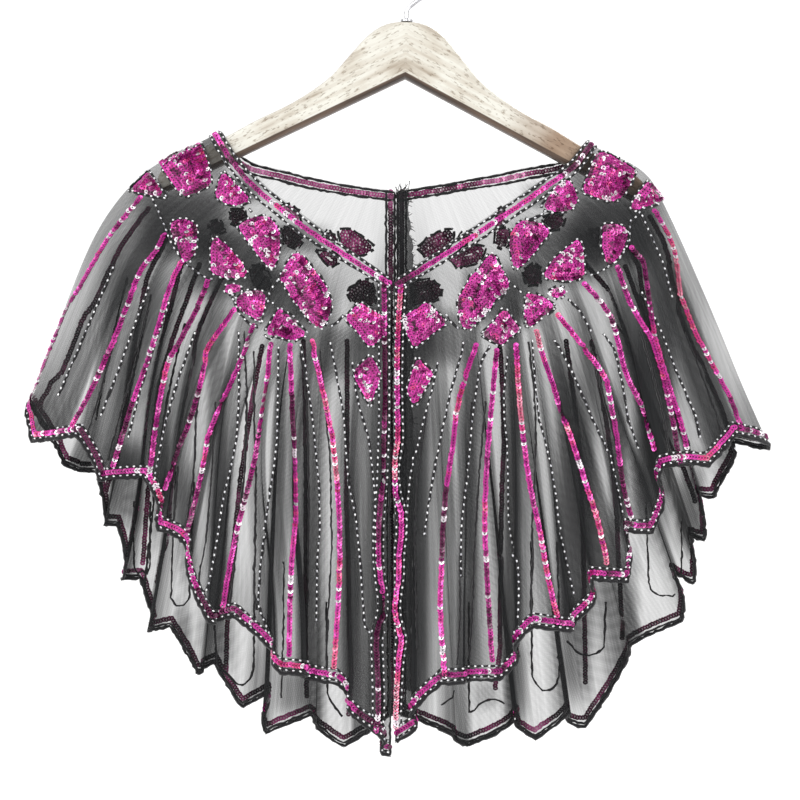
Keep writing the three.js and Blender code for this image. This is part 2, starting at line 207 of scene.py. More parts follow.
RIGHT_SECTIONS = [Section(*row) for row in (
    (0, 0.00, -8, -24, -386, -8, -34, -683),
    (1, 0.07, 32, -26, -369, 33, -37, -657),
    (2, 0.17, 78, -27, -351, 78, -39, -628),
    (4, 0.30, 112, -27, -339, 146, -40, -587),
    (6, 0.44, 136, -26, -318, 189, -38, -544),
    (8, 0.60, 169, -24, -288, 210, -34, -502),
    (10, 0.78, 197, -19, -254, 265, -25, -444),
    (11, 0.91, 213, -13, -231, 295, -13, -441),
    (11.6, 0.97, 220, -7, -214, 313, -6, -433),
    (12, 1.00, 224, 0, -207, 320, 0, -430),
    (12.3, 1.03, 223, 7, -210, 319, 6, -436),
    (13, 1.10, 218, 13, -228, 306, 15, -448),
    (14, 1.20, 208, 18, -243, 284, 25, -475),
    (16, 1.31, 187, 22, -263, 270, 34, -514),
    (18, 1.42, 163, 25, -277, 263, 39, -555),
    (20, 1.53, 139, 27, -288, 243, 43, -589),
    (22, 1.64, 110, 27, -298, 173, 45, -687),
    (24, 1.76, 75, 27, -304, 124, 45, -696),
    (26, 1.89, 33, 26, -309, 59, 44, -704),
    (27, 2.00, -7, 25, -310, -7, 42, -698),
)]

LEFT_FOLDS = [Fold(*row) for row in (
    (0.15, 13, 5),
    (0.72, 12, -5),
    (1.6, 20, 8),
    (2.2, 8, -3),
    (3.7, 22, 7),
    (5, 14, -3),
    (6.3, 14, 4),
    (8, 9, 9),
    (9.6, -8, 1),
    (12.4, 12, 6),
    (14.2, 22, -6),
    (16, 26, 6),
    (18, 20, -6),
    (20.4, 16, 6),
    (23.4, 24, -6),
    (25.2, 8, 5),
    (26.4, -6, 0),
)]

RIGHT_FOLDS = [Fold(*row) for row in (
    (0.4, 18, 5),
    (1.42, 12, -4),
    (2.5, 20, 7),
    (3.9, 16, -4),
    (4.8, 18, 4),
    (6.6, 12, -3),
    (8.7, 26, 7),
    (10.4, -8, 2),
    (13.2, 12, 6),
    (15, 22, -5),
    (17, 22, 6),
    (19.2, 18, -6),
    (21, 20, 6),
    (22.8, 16, -5),
    (24.8, 20, 6),
    (26.2, 8, 0),
)]

# Soft waves of the cloth between its folds
RIPPLES = (
    Ripple(0.55, 0.83, 0.6, 0.0, 1.0),
    Ripple(0.3, 1.9, -1.3, 2.1),
    Ripple(0.25, 0.31, 3.1, 0.7),
)


class Layer(Enum):
    """Which layer of the hanging cloth a mark is on."""

    FRONT = "front"
    BACK = "back"


class Hue(Enum):
    """The middle tone of a row of sequins."""

    FUCHSIA = 0.55
    ROSE = 0.76
    MAROON = 0.3


class Trim(Enum):
    """What is sewn along a line."""

    SEQUINS = "sequins"
    BEADS = "beads"
    CORD = "cord"


def marks(*pairs: tuple[float, float]) -> list[Mark]:
    """The marks at these pixels."""
    return [Mark(*pair) for pair in pairs]


# Rows of sequins that fall from the yoke to the hem, on the left half
LEFT_SEQUIN_LINES = (
    marks((142, 197), (111, 235), (95, 262), (80, 289), (69, 306), (53, 345), (38, 385), (31, 402)),
    marks((166, 234), (157, 251), (141, 270), (126, 310), (113, 343), (92, 390), (70, 431)),
    marks((183, 260), (172, 279), (160, 322), (149, 358), (134, 400), (122, 438), (113, 467)),
    marks((209, 279), (197, 310), (178, 345), (168, 362), (160, 400), (154, 440), (150, 475)),
    marks((234, 308), (206, 350), (200, 387), (190, 420), (178, 448), (164, 489)),
    marks((254, 325), (246, 350), (229, 390), (219, 411), (209, 435), (204, 464), (198, 492), (187, 535)),
    marks((271, 343), (267, 390), (260, 432), (254, 464), (246, 496), (236, 536), (227, 580), (223, 607)),
    marks((290, 344), (292, 400), (293, 440), (295, 518), (292, 559), (290, 607), (289, 656)),
    marks((311, 340), (325, 400), (333, 440), (337, 480), (340, 528), (340, 559), (339, 591), (334, 668)),
)

RIGHT_SEQUIN_LINES = (
    marks((477, 344), (470, 362), (462, 386), (456, 413), (453, 445), (446, 489), (443, 526), (441, 579),
          (440, 609), (445, 678)),
    marks((497, 349), (494, 378), (491, 413), (487, 458), (485, 505), (485, 537), (487, 579), (492, 661)),
    marks((516, 344), (518, 378), (521, 419), (526, 461), (532, 497), (540, 532), (548, 579), (557, 617)),
    marks((536, 330), (542, 354), (553, 386), (571, 437), (585, 481), (598, 521), (607, 564)),
    marks((557, 314), (572, 333), (585, 351), (598, 367), (606, 379), (609, 394), (615, 426), (623, 489),
          (631, 518)),
    marks((583, 283), (600, 301), (612, 319), (626, 375), (645, 412), (655, 450)),
    marks((617, 266), (628, 299), (641, 323), (650, 336), (662, 372), (672, 420), (680, 465)),
    marks((630, 247), (643, 262), (654, 338), (665, 375), (680, 421), (687, 449)),
    marks((653, 210), (667, 234), (674, 253), (680, 297), (695, 334), (715, 371), (730, 399), (741, 430)),
)

# Which of those rows are rose rather than fuchsia
LEFT_ROSE = (8,)
RIGHT_ROSE = (2, 3, 8)

# Cords with beads between the rows of sequins
LEFT_BEAD_LINES = (
    marks((239, 330), (239, 400), (236, 437), (230, 470), (223, 499), (217, 539), (209, 583), (205, 593)),
    marks((279, 345), (278, 400), (277, 440), (274, 467), (269, 499), (264, 539), (260, 569), (258, 606),
          (265, 622), (274, 644)),
    marks((300, 342), (310, 400), (313, 424), (317, 464), (319, 489), (320, 528), (317, 559), (316, 623)),
    marks((330, 340), (344, 416), (346, 448), (349, 480), (356, 518), (360, 559), (363, 604), (365, 628),
          (372, 634)),
    marks((352, 360), (360, 410), (368, 435), (372, 467), (375, 502), (375, 537), (376, 566)),
    marks((196, 330), (178, 380), (166, 420), (158, 460), (152, 490)),
    marks((170, 300), (155, 345), (140, 392), (128, 440)),
    marks((150, 285), (135, 325), (118, 372), (100, 418)),
    marks((115, 265), (98, 305), (78, 352), (58, 398)),
    marks((152, 197), (160, 214), (166, 229), (173, 246), (182, 260), (192, 268), (203, 277), (215, 280)),
    marks((247, 207), (254, 214)),
    marks((231, 296), (236, 306), (246, 322), (258, 330)),
    marks((280, 278), (270, 290), (268, 304), (276, 306)),
    marks((329, 328), (338, 322), (345, 314)),
)

RIGHT_BEAD_LINES = (
    marks((464, 340), (459, 362), (451, 389), (443, 426), (435, 466), (429, 501), (424, 537)),
    marks((438, 360), (433, 387), (424, 419), (419, 442), (411, 473), (408, 502), (406, 537)),
    marks((491, 344), (481, 362), (477, 384), (472, 419), (469, 454), (465, 489), (461, 529), (461, 579)),
    marks((508, 354), (504, 391), (504, 415), (507, 442), (508, 480), (508, 517), (512, 544), (518, 563),
          (519, 590), (518, 620)),
    marks((531, 338), (536, 394), (539, 419), (545, 442), (551, 470), (555, 497), (558, 528), (566, 561),
          (571, 585), (574, 596)),
    marks((553, 338), (561, 351), (571, 370), (577, 383), (585, 402), (595, 426), (606, 448), (612, 467),
          (617, 489), (622, 515)),
    marks((602, 332), (614, 348), (622, 383), (628, 419), (639, 451)),
    marks((640, 290), (660, 330), (676, 372), (695, 415), (700, 440)),
    marks((652, 190), (640, 212), (629, 222), (629, 240), (622, 256), (611, 266), (600, 272), (588, 276)),
    marks((640, 213), (652, 240), (662, 262), (672, 300)),
    marks((545, 213), (535, 218), (524, 220)),
    marks((566, 299), (575, 305), (584, 318), (592, 334)),
    marks((512, 284), (515, 291), (524, 294)),
    marks((461, 330), (450, 322), (444, 312)),
)

# Thin cords, also the rounded ends of the tongues between the rows
LEFT_CORDS = (
    marks((254, 350), (254, 400), (256, 480), (255, 543), (254, 591), (257, 612)),
    marks((300, 350), (307, 400), (309, 496), (308, 607)),
    marks((320, 350), (330, 456), (332, 543), (327, 639), (326, 668)),
    marks((205, 360), (196, 416), (195, 456), (192, 489), (187, 520)),
    marks((178, 464), (175, 512), (172, 530)),
    marks((216, 400), (212, 470), (206, 540), (198, 580), (203, 592), (211, 586)),
    marks((244, 330), (247, 400), (245, 470), (238, 530), (232, 590), (229, 612)),
    marks((350, 476), (355, 504), (358, 534), (361, 561), (363, 600), (364, 625), (371, 633)),
    marks((150, 300), (138, 345), (124, 398), (113, 440), (108, 462)),
    marks((130, 300), (112, 350), (98, 400), (86, 440)),
)

RIGHT_CORDS = (
    marks((528, 340), (533, 380), (536, 426), (535, 469), (534, 500), (532, 521), (533, 560), (531, 600),
          (532, 640)),
    marks((486, 400), (482, 440), (478, 490), (474, 560), (472, 623), (469, 662)),
    marks((472, 400), (469, 450), (465, 480), (462, 520), (460, 560), (460, 620), (457, 667)),
    marks((590, 345), (600, 385), (610, 420), (618, 455), (622, 500), (621, 530)),
    marks((428, 400), (423, 440), (417, 480), (415, 540), (416, 600), (417, 650)),
    marks((640, 330), (652, 372), (664, 420), (670, 455)),
    marks((684, 330), (700, 372), (716, 415), (722, 440)),
)

# The rows of sequins along the front edges
LEFT_EDGE_ROW = marks((384, 282), (384, 340), (384, 420), (382, 480), (378, 530), (378, 560), (380, 579),
                      (383, 601), (382, 614), (378, 625), (376, 637), (377, 663), (378, 692), (378, 714),
                      (376, 732))
RIGHT_EDGE_ROW = marks((401, 284), (398, 330), (397, 380), (398, 440), (393, 472), (396, 495), (401, 511),
                       (402, 534), (399, 552), (399, 575), (395, 604), (395, 613), (398, 626), (402, 639),
                       (400, 651), (398, 666), (397, 685), (396, 706), (396, 728))

# What shows of the back's rows, below the front's hem and through the net
LEFT_BACK_ROWS = (
    marks((262, 345), (252, 400), (240, 480), (232, 560), (227, 626), (226, 672)),
    marks((303, 340), (305, 400), (306, 480), (306, 560), (306, 640), (307, 698)),
    marks((347, 340), (347, 420), (346, 500), (348, 560), (349, 630), (351, 674), (350, 688), (348, 716)),
)

RIGHT_BACK_ROWS = (
    marks((500, 340), (503, 400), (504, 440), (502, 491), (501, 555), (500, 618), (500, 650), (495, 690)),
    marks((566, 340), (574, 400), (580, 460), (583, 530), (585, 620), (586, 684)),
    marks((592, 340), (603, 400), (612, 460), (617, 520), (620, 590), (622, 640)),
)

LEFT_BACK_CORDS = (
    marks((176, 470), (172, 560), (171, 599), (175, 606), (182, 607), (189, 600), (191, 560), (194, 480)),
    marks((254, 560), (254, 640), (253, 675), (248, 682), (239, 686), (228, 675), (217, 665), (214, 620)),
    marks((134, 500), (134, 570), (139, 576), (147, 575), (150, 568), (150, 500)),
    marks((326, 600), (327, 682), (328, 698), (343, 718)),
    marks((284, 560), (283, 640), (281, 700)),
)

RIGHT_BACK_CORDS = (
    marks((646, 500), (648, 560), (649, 588), (654, 594), (665, 597), (676, 592), (682, 580), (681, 520)),
    marks((531, 540), (532, 600), (532, 678), (543, 692), (552, 690), (559, 681), (559, 600), (557, 540)),
    marks((469, 600), (469, 690), (469, 715), (483, 701), (494, 698), (506, 705)),
    marks((566, 640), (581, 655), (592, 656), (604, 650), (606, 600)),
    marks((456, 690), (447, 702), (440, 706)),
)

# Facets of the yoke: each is filled with rows of sequins inside a cord with beads
LEFT_FACETS = (
    marks((157, 162), (168, 151), (196, 139), (202, 143), (208, 160), (212, 174), (212, 186), (195, 195),
          (183, 198), (178, 192), (166, 175)),
    marks((128, 192), (149, 170), (157, 182), (168, 199)),
    marks((223, 169), (237, 184), (248, 195), (253, 201), (238, 207), (222, 204), (214, 196), (217, 184)),
    marks((237, 224), (252, 217), (268, 215), (277, 224), (281, 235), (280, 256), (274, 270), (269, 269),
          (255, 253), (243, 236)),
    marks((293, 251), (302, 254), (317, 272), (329, 290), (333, 303), (329, 318), (324, 328), (318, 329),
          (309, 323), (295, 303), (281, 285), (278, 277), (283, 269), (288, 258)),
    marks((344, 318), (359, 301), (385, 317), (385, 334), (371, 349)),
    marks((371, 353), (352, 373), (370, 409), (382, 375)),
    marks((170, 221), (184, 218), (196, 223), (198, 236), (197, 251), (188, 265), (180, 257), (173, 240)),
    marks((214, 233), (229, 246), (240, 259), (250, 276), (240, 279), (224, 279), (210, 273), (211, 245)),
    marks((222, 287), (230, 283), (238, 284), (245, 289), (238, 293), (227, 296)),
    marks((233, 300), (244, 291), (259, 289), (266, 293), (266, 305), (262, 325), (247, 315)),
    marks((280, 305), (264, 333), (293, 342), (309, 335), (297, 319)),
)

RIGHT_FACETS = (
    marks((596, 153), (606, 152), (621, 161), (637, 170), (634, 177), (629, 188), (622, 198), (612, 203),
          (601, 201), (581, 193), (585, 181), (590, 166)),
    marks((648, 180), (657, 188), (667, 202), (655, 207), (640, 210), (630, 213), (630, 205), (636, 194)),
    marks((567, 178), (574, 186), (578, 196), (577, 206), (569, 212), (556, 213), (542, 210), (548, 196),
          (557, 185)),
    marks((523, 219), (539, 222), (556, 233), (551, 241), (538, 252), (528, 262), (521, 271), (515, 272),
          (511, 263), (508, 246), (509, 235), (514, 226)),
    marks((490, 253), (497, 254), (504, 270), (512, 284), (498, 301), (487, 313), (475, 327), (469, 331),
          (460, 326), (457, 311), (457, 297), (474, 272)),
    marks((601, 224), (615, 223), (627, 228), (628, 237), (622, 254), (614, 265), (606, 264), (602, 250)),
    marks((574, 240), (580, 239), (584, 252), (585, 277), (574, 282), (551, 281), (541, 277), (552, 260)),
    marks((546, 291), (558, 286), (566, 289), (566, 295), (559, 300), (550, 297)),
    marks((524, 293), (534, 293), (545, 297), (557, 307), (545, 317), (529, 328), (523, 326), (523, 310)),
    marks((505, 307), (522, 331), (500, 347), (480, 335)),
    marks((400, 318), (428, 301), (448, 323), (414, 350)),
    marks((417, 355), (435, 373), (416, 408), (406, 391)),
)

# What shows of the back's facets, inside the neck and through the front's net
LEFT_BACK_FACETS = (
    marks((338, 229), (353, 229), (366, 238), (378, 251), (369, 253), (360, 260), (350, 255), (340, 244)),
    marks((362, 278), (371, 281), (377, 294), (375, 306), (352, 304), (346, 292)),
    marks((277, 206), (292, 204), (301, 213), (302, 224), (290, 220)),
    marks((321, 237), (328, 228), (338, 236), (336, 244)),
    marks((281, 226), (294, 226), (304, 240), (298, 250), (285, 246)),
    marks((249, 266), (262, 262), (272, 280), (268, 292), (254, 288)),
    marks((228, 209), (246, 208), (248, 220), (240, 228), (230, 222)),
    marks((208, 222), (220, 219), (228, 230), (218, 236), (208, 232)),
    marks((314, 250), (330, 250), (342, 262), (330, 268)),
)

RIGHT_BACK_FACETS = (
    marks((416, 247), (429, 236), (442, 230), (455, 229), (452, 242), (446, 252), (434, 258), (426, 260)),
    marks((411, 281), (432, 278), (442, 287), (441, 298), (432, 304), (410, 306)),
    marks((494, 226), (496, 210), (504, 206), (506, 218), (500, 230)),
    marks((457, 242), (464, 230), (475, 234), (470, 243)),
    marks((496, 229), (508, 226), (512, 240), (504, 250), (495, 246)),
    marks((447, 258), (470, 244), (487, 246), (480, 262), (458, 270)),
    marks((522, 270), (534, 262), (543, 270), (540, 286), (526, 286)),
    marks((541, 218), (552, 212), (566, 216), (562, 229), (548, 231)),
    marks((586, 230), (600, 226), (602, 246), (590, 246)),
)

# Where the net looks darker from several layers and from painted shade; less than 0 is lighter
GATHERS_AND_SHADE = [Shade(*row) for row in (
    (185, 222, 44, 34, 3.6),
    (235, 262, 44, 32, 3.2),
    (288, 296, 36, 26, 2.8),
    (212, 155, 14, 24, 1.5),
    (240, 190, 20, 12, 2.0),
    (372, 322, 20, 30, 1.2),
    (420, 322, 20, 30, 1.2),
    (340, 352, 28, 26, 1.7),
    (300, 238, 28, 14, 1.6),
    (140, 320, 30, 100, 0.7),
    (127, 485, 16, 40, 3.0),
    (186, 525, 9, 60, 1.8),
    (159, 460, 9, 80, 2.2),
    (217, 470, 9, 170, 1.6),
    (216, 640, 18, 26, 1.6),
    (280, 470, 5, 130, 1.4),
    (306, 500, 8, 200, 1.9),
    (295, 690, 20, 24, 2.4),
    (351, 580, 7, 130, 1.6),
    (387, 500, 14, 230, 2.4),
    (416, 500, 13, 230, 2.4),
    (470, 480, 7, 190, 1.6),
    (512, 500, 8, 190, 2.4),
    (575, 500, 18, 130, 2.4),
    (575, 650, 16, 50, 2.6),
    (618, 480, 8, 90, 1.6),
    (655, 420, 19, 110, 3.2),
    (690, 505, 14, 40, 3.0),
    (630, 600, 8, 50, 1.6),
    (610, 228, 42, 36, 4.0),
    (560, 252, 42, 30, 2.6),
    (505, 298, 34, 26, 2.4),
    (545, 195, 22, 12, 1.6),
    (582, 168, 13, 24, 1.6),
    (438, 338, 28, 26, 1.7),
    (640, 300, 24, 80, 1.2),
    (516, 682, 11, 42, 2.6),
    (487, 694, 12, 14, 1.2),
    (183, 640, 8, 34, 2.2),
    (258, 690, 9, 60, 1.8),
    (250, 480, 20, 110, -0.5),
    (452, 600, 18, 80, -0.5),
    (325, 500, 14, 110, -0.35),
    (74, 345, 34, 85, -0.65),
    (718, 375, 26, 70, -0.55),
)]


def hermite(start: np.ndarray, end: np.ndarray, start_slope: np.ndarray, end_slope: np.ndarray,
            u: np.ndarray) -> np.ndarray:
    """A cubic that leaves start and reaches end with given slopes.

    Args:
        start: The values at its start.
        end: The values at its end.
        start_slope: The slope at its start.
        end_slope: The slope at its end.
        u: The places between them, from 0 to 1.

    Returns:
        The cubic's values at u.
    """
    u2 = u * u
    u3 = u2 * u
    return ((2 * u3 - 3 * u2 + 1) * start + (u3 - 2 * u2 + u) * start_slope
            + (3 * u2 - 2 * u3) * end + (u3 - u2) * end_slope)


def smoothstep(value: np.ndarray, low: float, high: float) -> np.ndarray:
    """0 below low, 1 above high, and a smooth rise between them."""
    x = np.clip((value - low) / (high - low), 0, 1)
    return x * x * (3 - 2 * x)


def unit(vectors: np.ndarray) -> np.ndarray:
    """The vectors with length 1."""
    length = np.linalg.norm(vectors, axis=-1, keepdims=True)
    return vectors / np.maximum(length, 1e-9)


def arc_length(points: np.ndarray, axis: int = 0) -> np.ndarray:
    """The length along a grid or line of points.

    Args:
        points: The points.
        axis: The axis along which they follow each other.

    Returns:
        The length from the start to each point.
    """
    steps = np.linalg.norm(np.diff(points, axis=axis), axis=-1)
    total = np.cumsum(steps, axis=axis)
    shape = list(total.shape)
    shape[axis] = 1
    return np.concatenate([np.zeros(shape), total], axis=axis)


def tooth_drop(at: np.ndarray) -> np.ndarray:
    """How far below or above the plain hem the cut edge lies: a tip at even places."""
    phase = at - 2 * np.floor(at / 2)
    return TOOTH_DEPTH * (np.abs(phase - 1) - 0.5)


class TableCurve:
    """A smooth curve through a table's rows, which gives its other columns at a place."""

    def __init__(self, rows: Sequence[tuple[float, ...]]) -> None:
        """Finds the slopes at the rows, in the way that the solids do.

        Args:
            rows: The table, whose first column is the place.
        """
        table = np.array(rows, dtype=float)
        self.places = table[:, 0]
        self.values = table[:, 1:]
        spans = np.diff(self.places)[:, None]
        chords = np.diff(self.values, axis=0) / spans
        before, after = spans[:-1], spans[1:]
        inner = (chords[:-1] * after + chords[1:] * before) / (before + after)
        self.slopes = np.vstack([chords[:1], inner, chords[-1:]])

    def __call__(self, at: np.ndarray) -> np.ndarray:
        """The table's other columns at each place.

        Args:
            at: The places.

        Returns:
            A row of values for each place, smooth between the table's rows.
        """
        i = np.clip(np.searchsorted(self.places, at, side="right") - 1, 0, len(self.places) - 2)
        span = (self.places[i + 1] - self.places[i])[..., None]
        u = (np.asarray(at) - self.places[i])[..., None] / span
        return hermite(self.values[i], self.values[i + 1], self.slopes[i] * span,
                       self.slopes[i + 1] * span, u)


@dataclass
class Drape:
    """The hanging surface of one half, the same as its solid's, with soft ripples added.

    side is -1 for the left half and 1 for the right one, side_at is where the half turns from
    front to back, in half teeth, and lean is how far the yoke's slope carries on below it.
    """

    name: str
    side: int
    side_at: float
    lean: float
    neck: Sequence[NeckPoint]
    sections: Sequence[Section]
    folds: Sequence[Fold]
    steps_per_band: int = 8
    rows: int = 92
    ripple: float = 1.1
    ripple_levels: tuple[float, float] = (0.1, 0.8)
    columns: np.ndarray = field(init=False, repr=False)
    levels: np.ndarray = field(init=False, repr=False)
    points: np.ndarray = field(init=False, repr=False)
    normals: np.ndarray = field(init=False, repr=False)

    def __post_init__(self) -> None:
        """Lays out the grid of points and its measures."""
        self.neck_curve = TableCurve(self.neck)
        self.section_curve = TableCurve(self.sections)
        self.corners = self.fold_corners()
        self.end = len(self.corners) - 1
        self.columns = self.column_places()
        self.levels = np.linspace(0, 1, self.rows + 1)
        c, v = np.meshgrid(self.columns, self.levels, indexing="ij")
        plain = self.place(c, v)
        normals = self.face_normals(plain)
        wave = np.zeros_like(c)
        for ripple in RIPPLES:
            start = ripple.start + ripple.by_side * self.side
            turns = ripple.across * c + ripple.down * v
            wave += ripple.share * np.sin(2 * math.pi * turns + start)
        edge = smoothstep(c, 0, 1) * smoothstep(self.end - c, 0, 1)
        lift = self.ripple * wave * smoothstep(v, *self.ripple_levels) * edge
        self.points = plain + normals * lift[..., None]
        self.normals = self.face_normals(self.points)
        self.from_front = arc_length(self.points, axis=0)
        self.from_neck = arc_length(self.points, axis=1)

    def fold_corners(self) -> np.ndarray:
        """Lays out two corners for each fold, and one at each end.

        Returns:
            Rows of place, turn, lap, spread, step and out.
        """
        rows = [(0.0, 0.0, 0.0, 0.0, 0.0, 0.0)]
        for fold in self.folds:
            ends = self.section_curve(np.array([fold.at - 0.5, fold.at + 0.5]))[:, 4:]
            pitch = float(np.linalg.norm(ends[0] - ends[1]))
            step = max(FOLD_STEP * abs(fold.lap) / 2 / pitch, LEAST_STEP)
            lap = fold.lap / 2 / pitch
            spread = FOLD_SPREAD / pitch
            rows.append((fold.at, 1.0, lap, spread, -step, rows[-1][5]))
            rows.append((fold.at, -1.0, lap, spread, step, fold.out))
        rows.append((BACK_END, 0.0, 0.0, 0.0, 0.0, 0.0))
        return np.array(rows)

    def corner(self, i: np.ndarray, deepening: np.ndarray) -> np.ndarray:
        """The corners of the folds at a depth.

        Args:
            i: Which corner, for each place.
            deepening: How deep the folds are there, from 0 to 1.

        Returns:
            Each corner's place across, place down and outward step.
        """
        at, turn, lap, spread, step, out = np.moveaxis(self.corners[np.clip(i, 0, self.end)], -1, 0)
        shift = turn * (-spread + (lap + spread) * deepening)
        return np.stack([at + shift, at + step, out * deepening], axis=-1)

    def across(self, c: np.ndarray, t: np.ndarray) -> np.ndarray:
        """The cloth's place on the drape, as its folds carry it.

        Args:
            c: The place along the bands.
            t: The share of the way down.

        Returns:
            The place across, the place down and how far the cloth stands out.
        """
        deepening = 1 - (1 - np.clip(t, 0, 1)) ** 2
        i = np.clip(np.floor(c + 0.5).astype(int), 0, self.end)
        u = (c - i + 0.5)[..., None]
        middle = self.corner(i, deepening)
        lower = self.corner(i - 1, deepening)
        upper = self.corner(i + 1, deepening)
        before = np.where((i > 0)[..., None], lower, 2 * middle - upper)
        after = np.where((i < self.end)[..., None], upper, 2 * middle - lower)
        return (1 - u) ** 2 / 2 * before + (0.5 + u * (1 - u)) * middle + u * u / 2 * after

    def tooth_place(self, c: np.ndarray) -> np.ndarray:
        """The place along the hem's teeth at c."""
        return self.across(c, np.ones_like(c))[..., 1]

    def column(self, at: np.ndarray, t: np.ndarray) -> np.ndarray:
        """Points of the plain drape, before it is folded.

        Args:
            at: The places, in half teeth.
            t: The share of the way down, past 1 below the plain hem.

        Returns:
            The points, in millimetres.
        """
        section = self.section_curve(at)
        start = self.neck_curve(section[..., 0])
        middle = section[..., 1:4]
        end = section[..., 4:7]
        t = np.asarray(t)[..., None]
        span = 1 - YOKE_LEVEL
        upper = (middle - start) / YOKE_LEVEL
        lower = (end - middle) / span
        bend = lower + (upper - lower) * self.lean
        above = hermite(start, middle, upper * YOKE_LEVEL, bend * YOKE_LEVEL, t / YOKE_LEVEL)
        below = hermite(middle, end, bend * span, lower * span, (t - YOKE_LEVEL) / span)
        return np.where(t >= 1, end + lower * (t - 1), np.where(t < YOKE_LEVEL, above, below))

    def place(self, c: np.ndarray, v: np.ndarray) -> np.ndarray:
        """Points of the draped cloth.

        Args:
            c: The place along the bands.
            v: The level, from the neck to the cut hem.

        Returns:
            The points, in millimetres.
        """
        down_at = self.tooth_place(c)
        one = np.ones_like(down_at)
        length = np.linalg.norm(self.column(down_at, one) - self.column(down_at, 0 * one), axis=-1)
        t = v * (1 + tooth_drop(down_at) / length)
        side_at, _, out = np.moveaxis(self.across(c, t), -1, 0)
        plain = self.column(side_at, t)
        height_at = side_at + (down_at - side_at) * smoothstep(t, 0, FOLD_START)
        turn = math.pi * smoothstep(side_at, self.side_at - SIDE_TURN, self.side_at + SIDE_TURN)
        x = plain[..., 0] + self.side * (out * np.sin(turn) + SEAM_GAP / 2)
        y = plain[..., 1] - out * np.cos(turn)
        z = self.column(height_at, t)[..., 2]
        return np.stack([x, y, z], axis=-1)

    def column_places(self) -> np.ndarray:
        """Lays out the grid's columns.

        Returns:
            Even places along c, with one moved onto each tip and notch of the hem.
        """
        columns = np.linspace(0, self.end, self.end * self.steps_per_band + 1)
        teeth = np.arange(1, BACK_END)
        for place in np.interp(teeth, self.tooth_place(columns), columns):
            columns[np.argmin(np.abs(columns - place))] = place
        return columns

    def face_normals(self, points: np.ndarray) -> np.ndarray:
        """The outward directions of a grid of points.

        Args:
            points: The grid.

        Returns:
            A direction of length 1 for each point.
        """
        down = np.gradient(points, axis=1)
        along = np.gradient(points, axis=0)
        return unit(np.cross(along, down)) * -self.side

    def sample(self, grid: np.ndarray, c: np.ndarray, v: np.ndarray) -> np.ndarray:
        """A grid's values between its points.

        Args:
            grid: The values, one or three for each point of the drape's grid.
            c: The places along the bands.
            v: The levels.

        Returns:
            The values at (c, v).
        """
        i = np.clip(np.searchsorted(self.columns, c, side="right") - 1, 0, len(self.columns) - 2)
        a = (np.clip(c, 0, self.end) - self.columns[i]) / (self.columns[i + 1] - self.columns[i])
        row = np.clip(v, 0, 1) * self.rows
        j = np.clip(row.astype(int), 0, self.rows - 1)
        b = row - j
        if grid.ndim == 3:
            a, b = a[..., None], b[..., None]
        near = grid[i, j] * (1 - a) + grid[i + 1, j] * a
        far = grid[i, j + 1] * (1 - a) + grid[i + 1, j + 1] * a
        return near * (1 - b) + far * b

    def behind(self, path: np.ndarray) -> np.ndarray:
        """Repeats a path on the back of the half.

        Args:
            path: Rows of c and v.

        Returns:
            The path, mirrored about the half's side.
        """
        at = self.tooth_place(path[:, 0])
        share = (BACK_END - self.side_at) / self.side_at
        back_at = self.side_at + (self.side_at - at) * share
        c = np.interp(back_at, self.tooth_place(self.columns), self.columns)
        return np.column_stack([c, path[:, 1]])

    def level_at(self, c: np.ndarray, from_neck: float | None = None,
                 from_hem: float | None = None) -> np.ndarray:
        """The level at a distance from one of the cloth's edges.

        Args:
            c: The places along the bands.
            from_neck: The distance from the neck edge, in millimetres.
            from_hem: The distance from the cut hem instead.

        Returns:
            The level v at each place.
        """
        length = self.sample(self.from_neck, c, np.ones_like(c))
        distance = from_neck if from_hem is None else length - from_hem
        return distance / length

    def column_at(self, v: np.ndarray, distance: float, back: bool) -> np.ndarray:
        """The place at a distance from the front edge or the back edge.

        Args:
            v: The levels.
            distance: The distance, in millimetres.
            back: Whether it is from the back edge.

        Returns:
            The place c at each level.
        """
        found = []
        for level in v:
            run = self.sample(self.from_front, self.columns, np.full(len(self.columns), level))
            found.append(np.interp(run[-1] - distance if back else distance, run, self.columns))
        return np.array(found)


def seen_from_camera(points: np.ndarray) -> np.ndarray:
    """The places in the photograph at which points are seen.

    Args:
        points: The points, in millimetres.

    Returns:
        Their pixels.
    """
    eye = np.array([CAMERA_X, -CAMERA_DISTANCE, CAMERA_Z]) / MM
    away = points - eye
    share = (CAMERA_DISTANCE + PICTURE_DEPTH) / MM / away[..., 1:2]
    pixels = away[..., [0, 2]] * share * MM / PIXEL
    return FRAME_PIXELS / 2 + pixels * (1, -1)


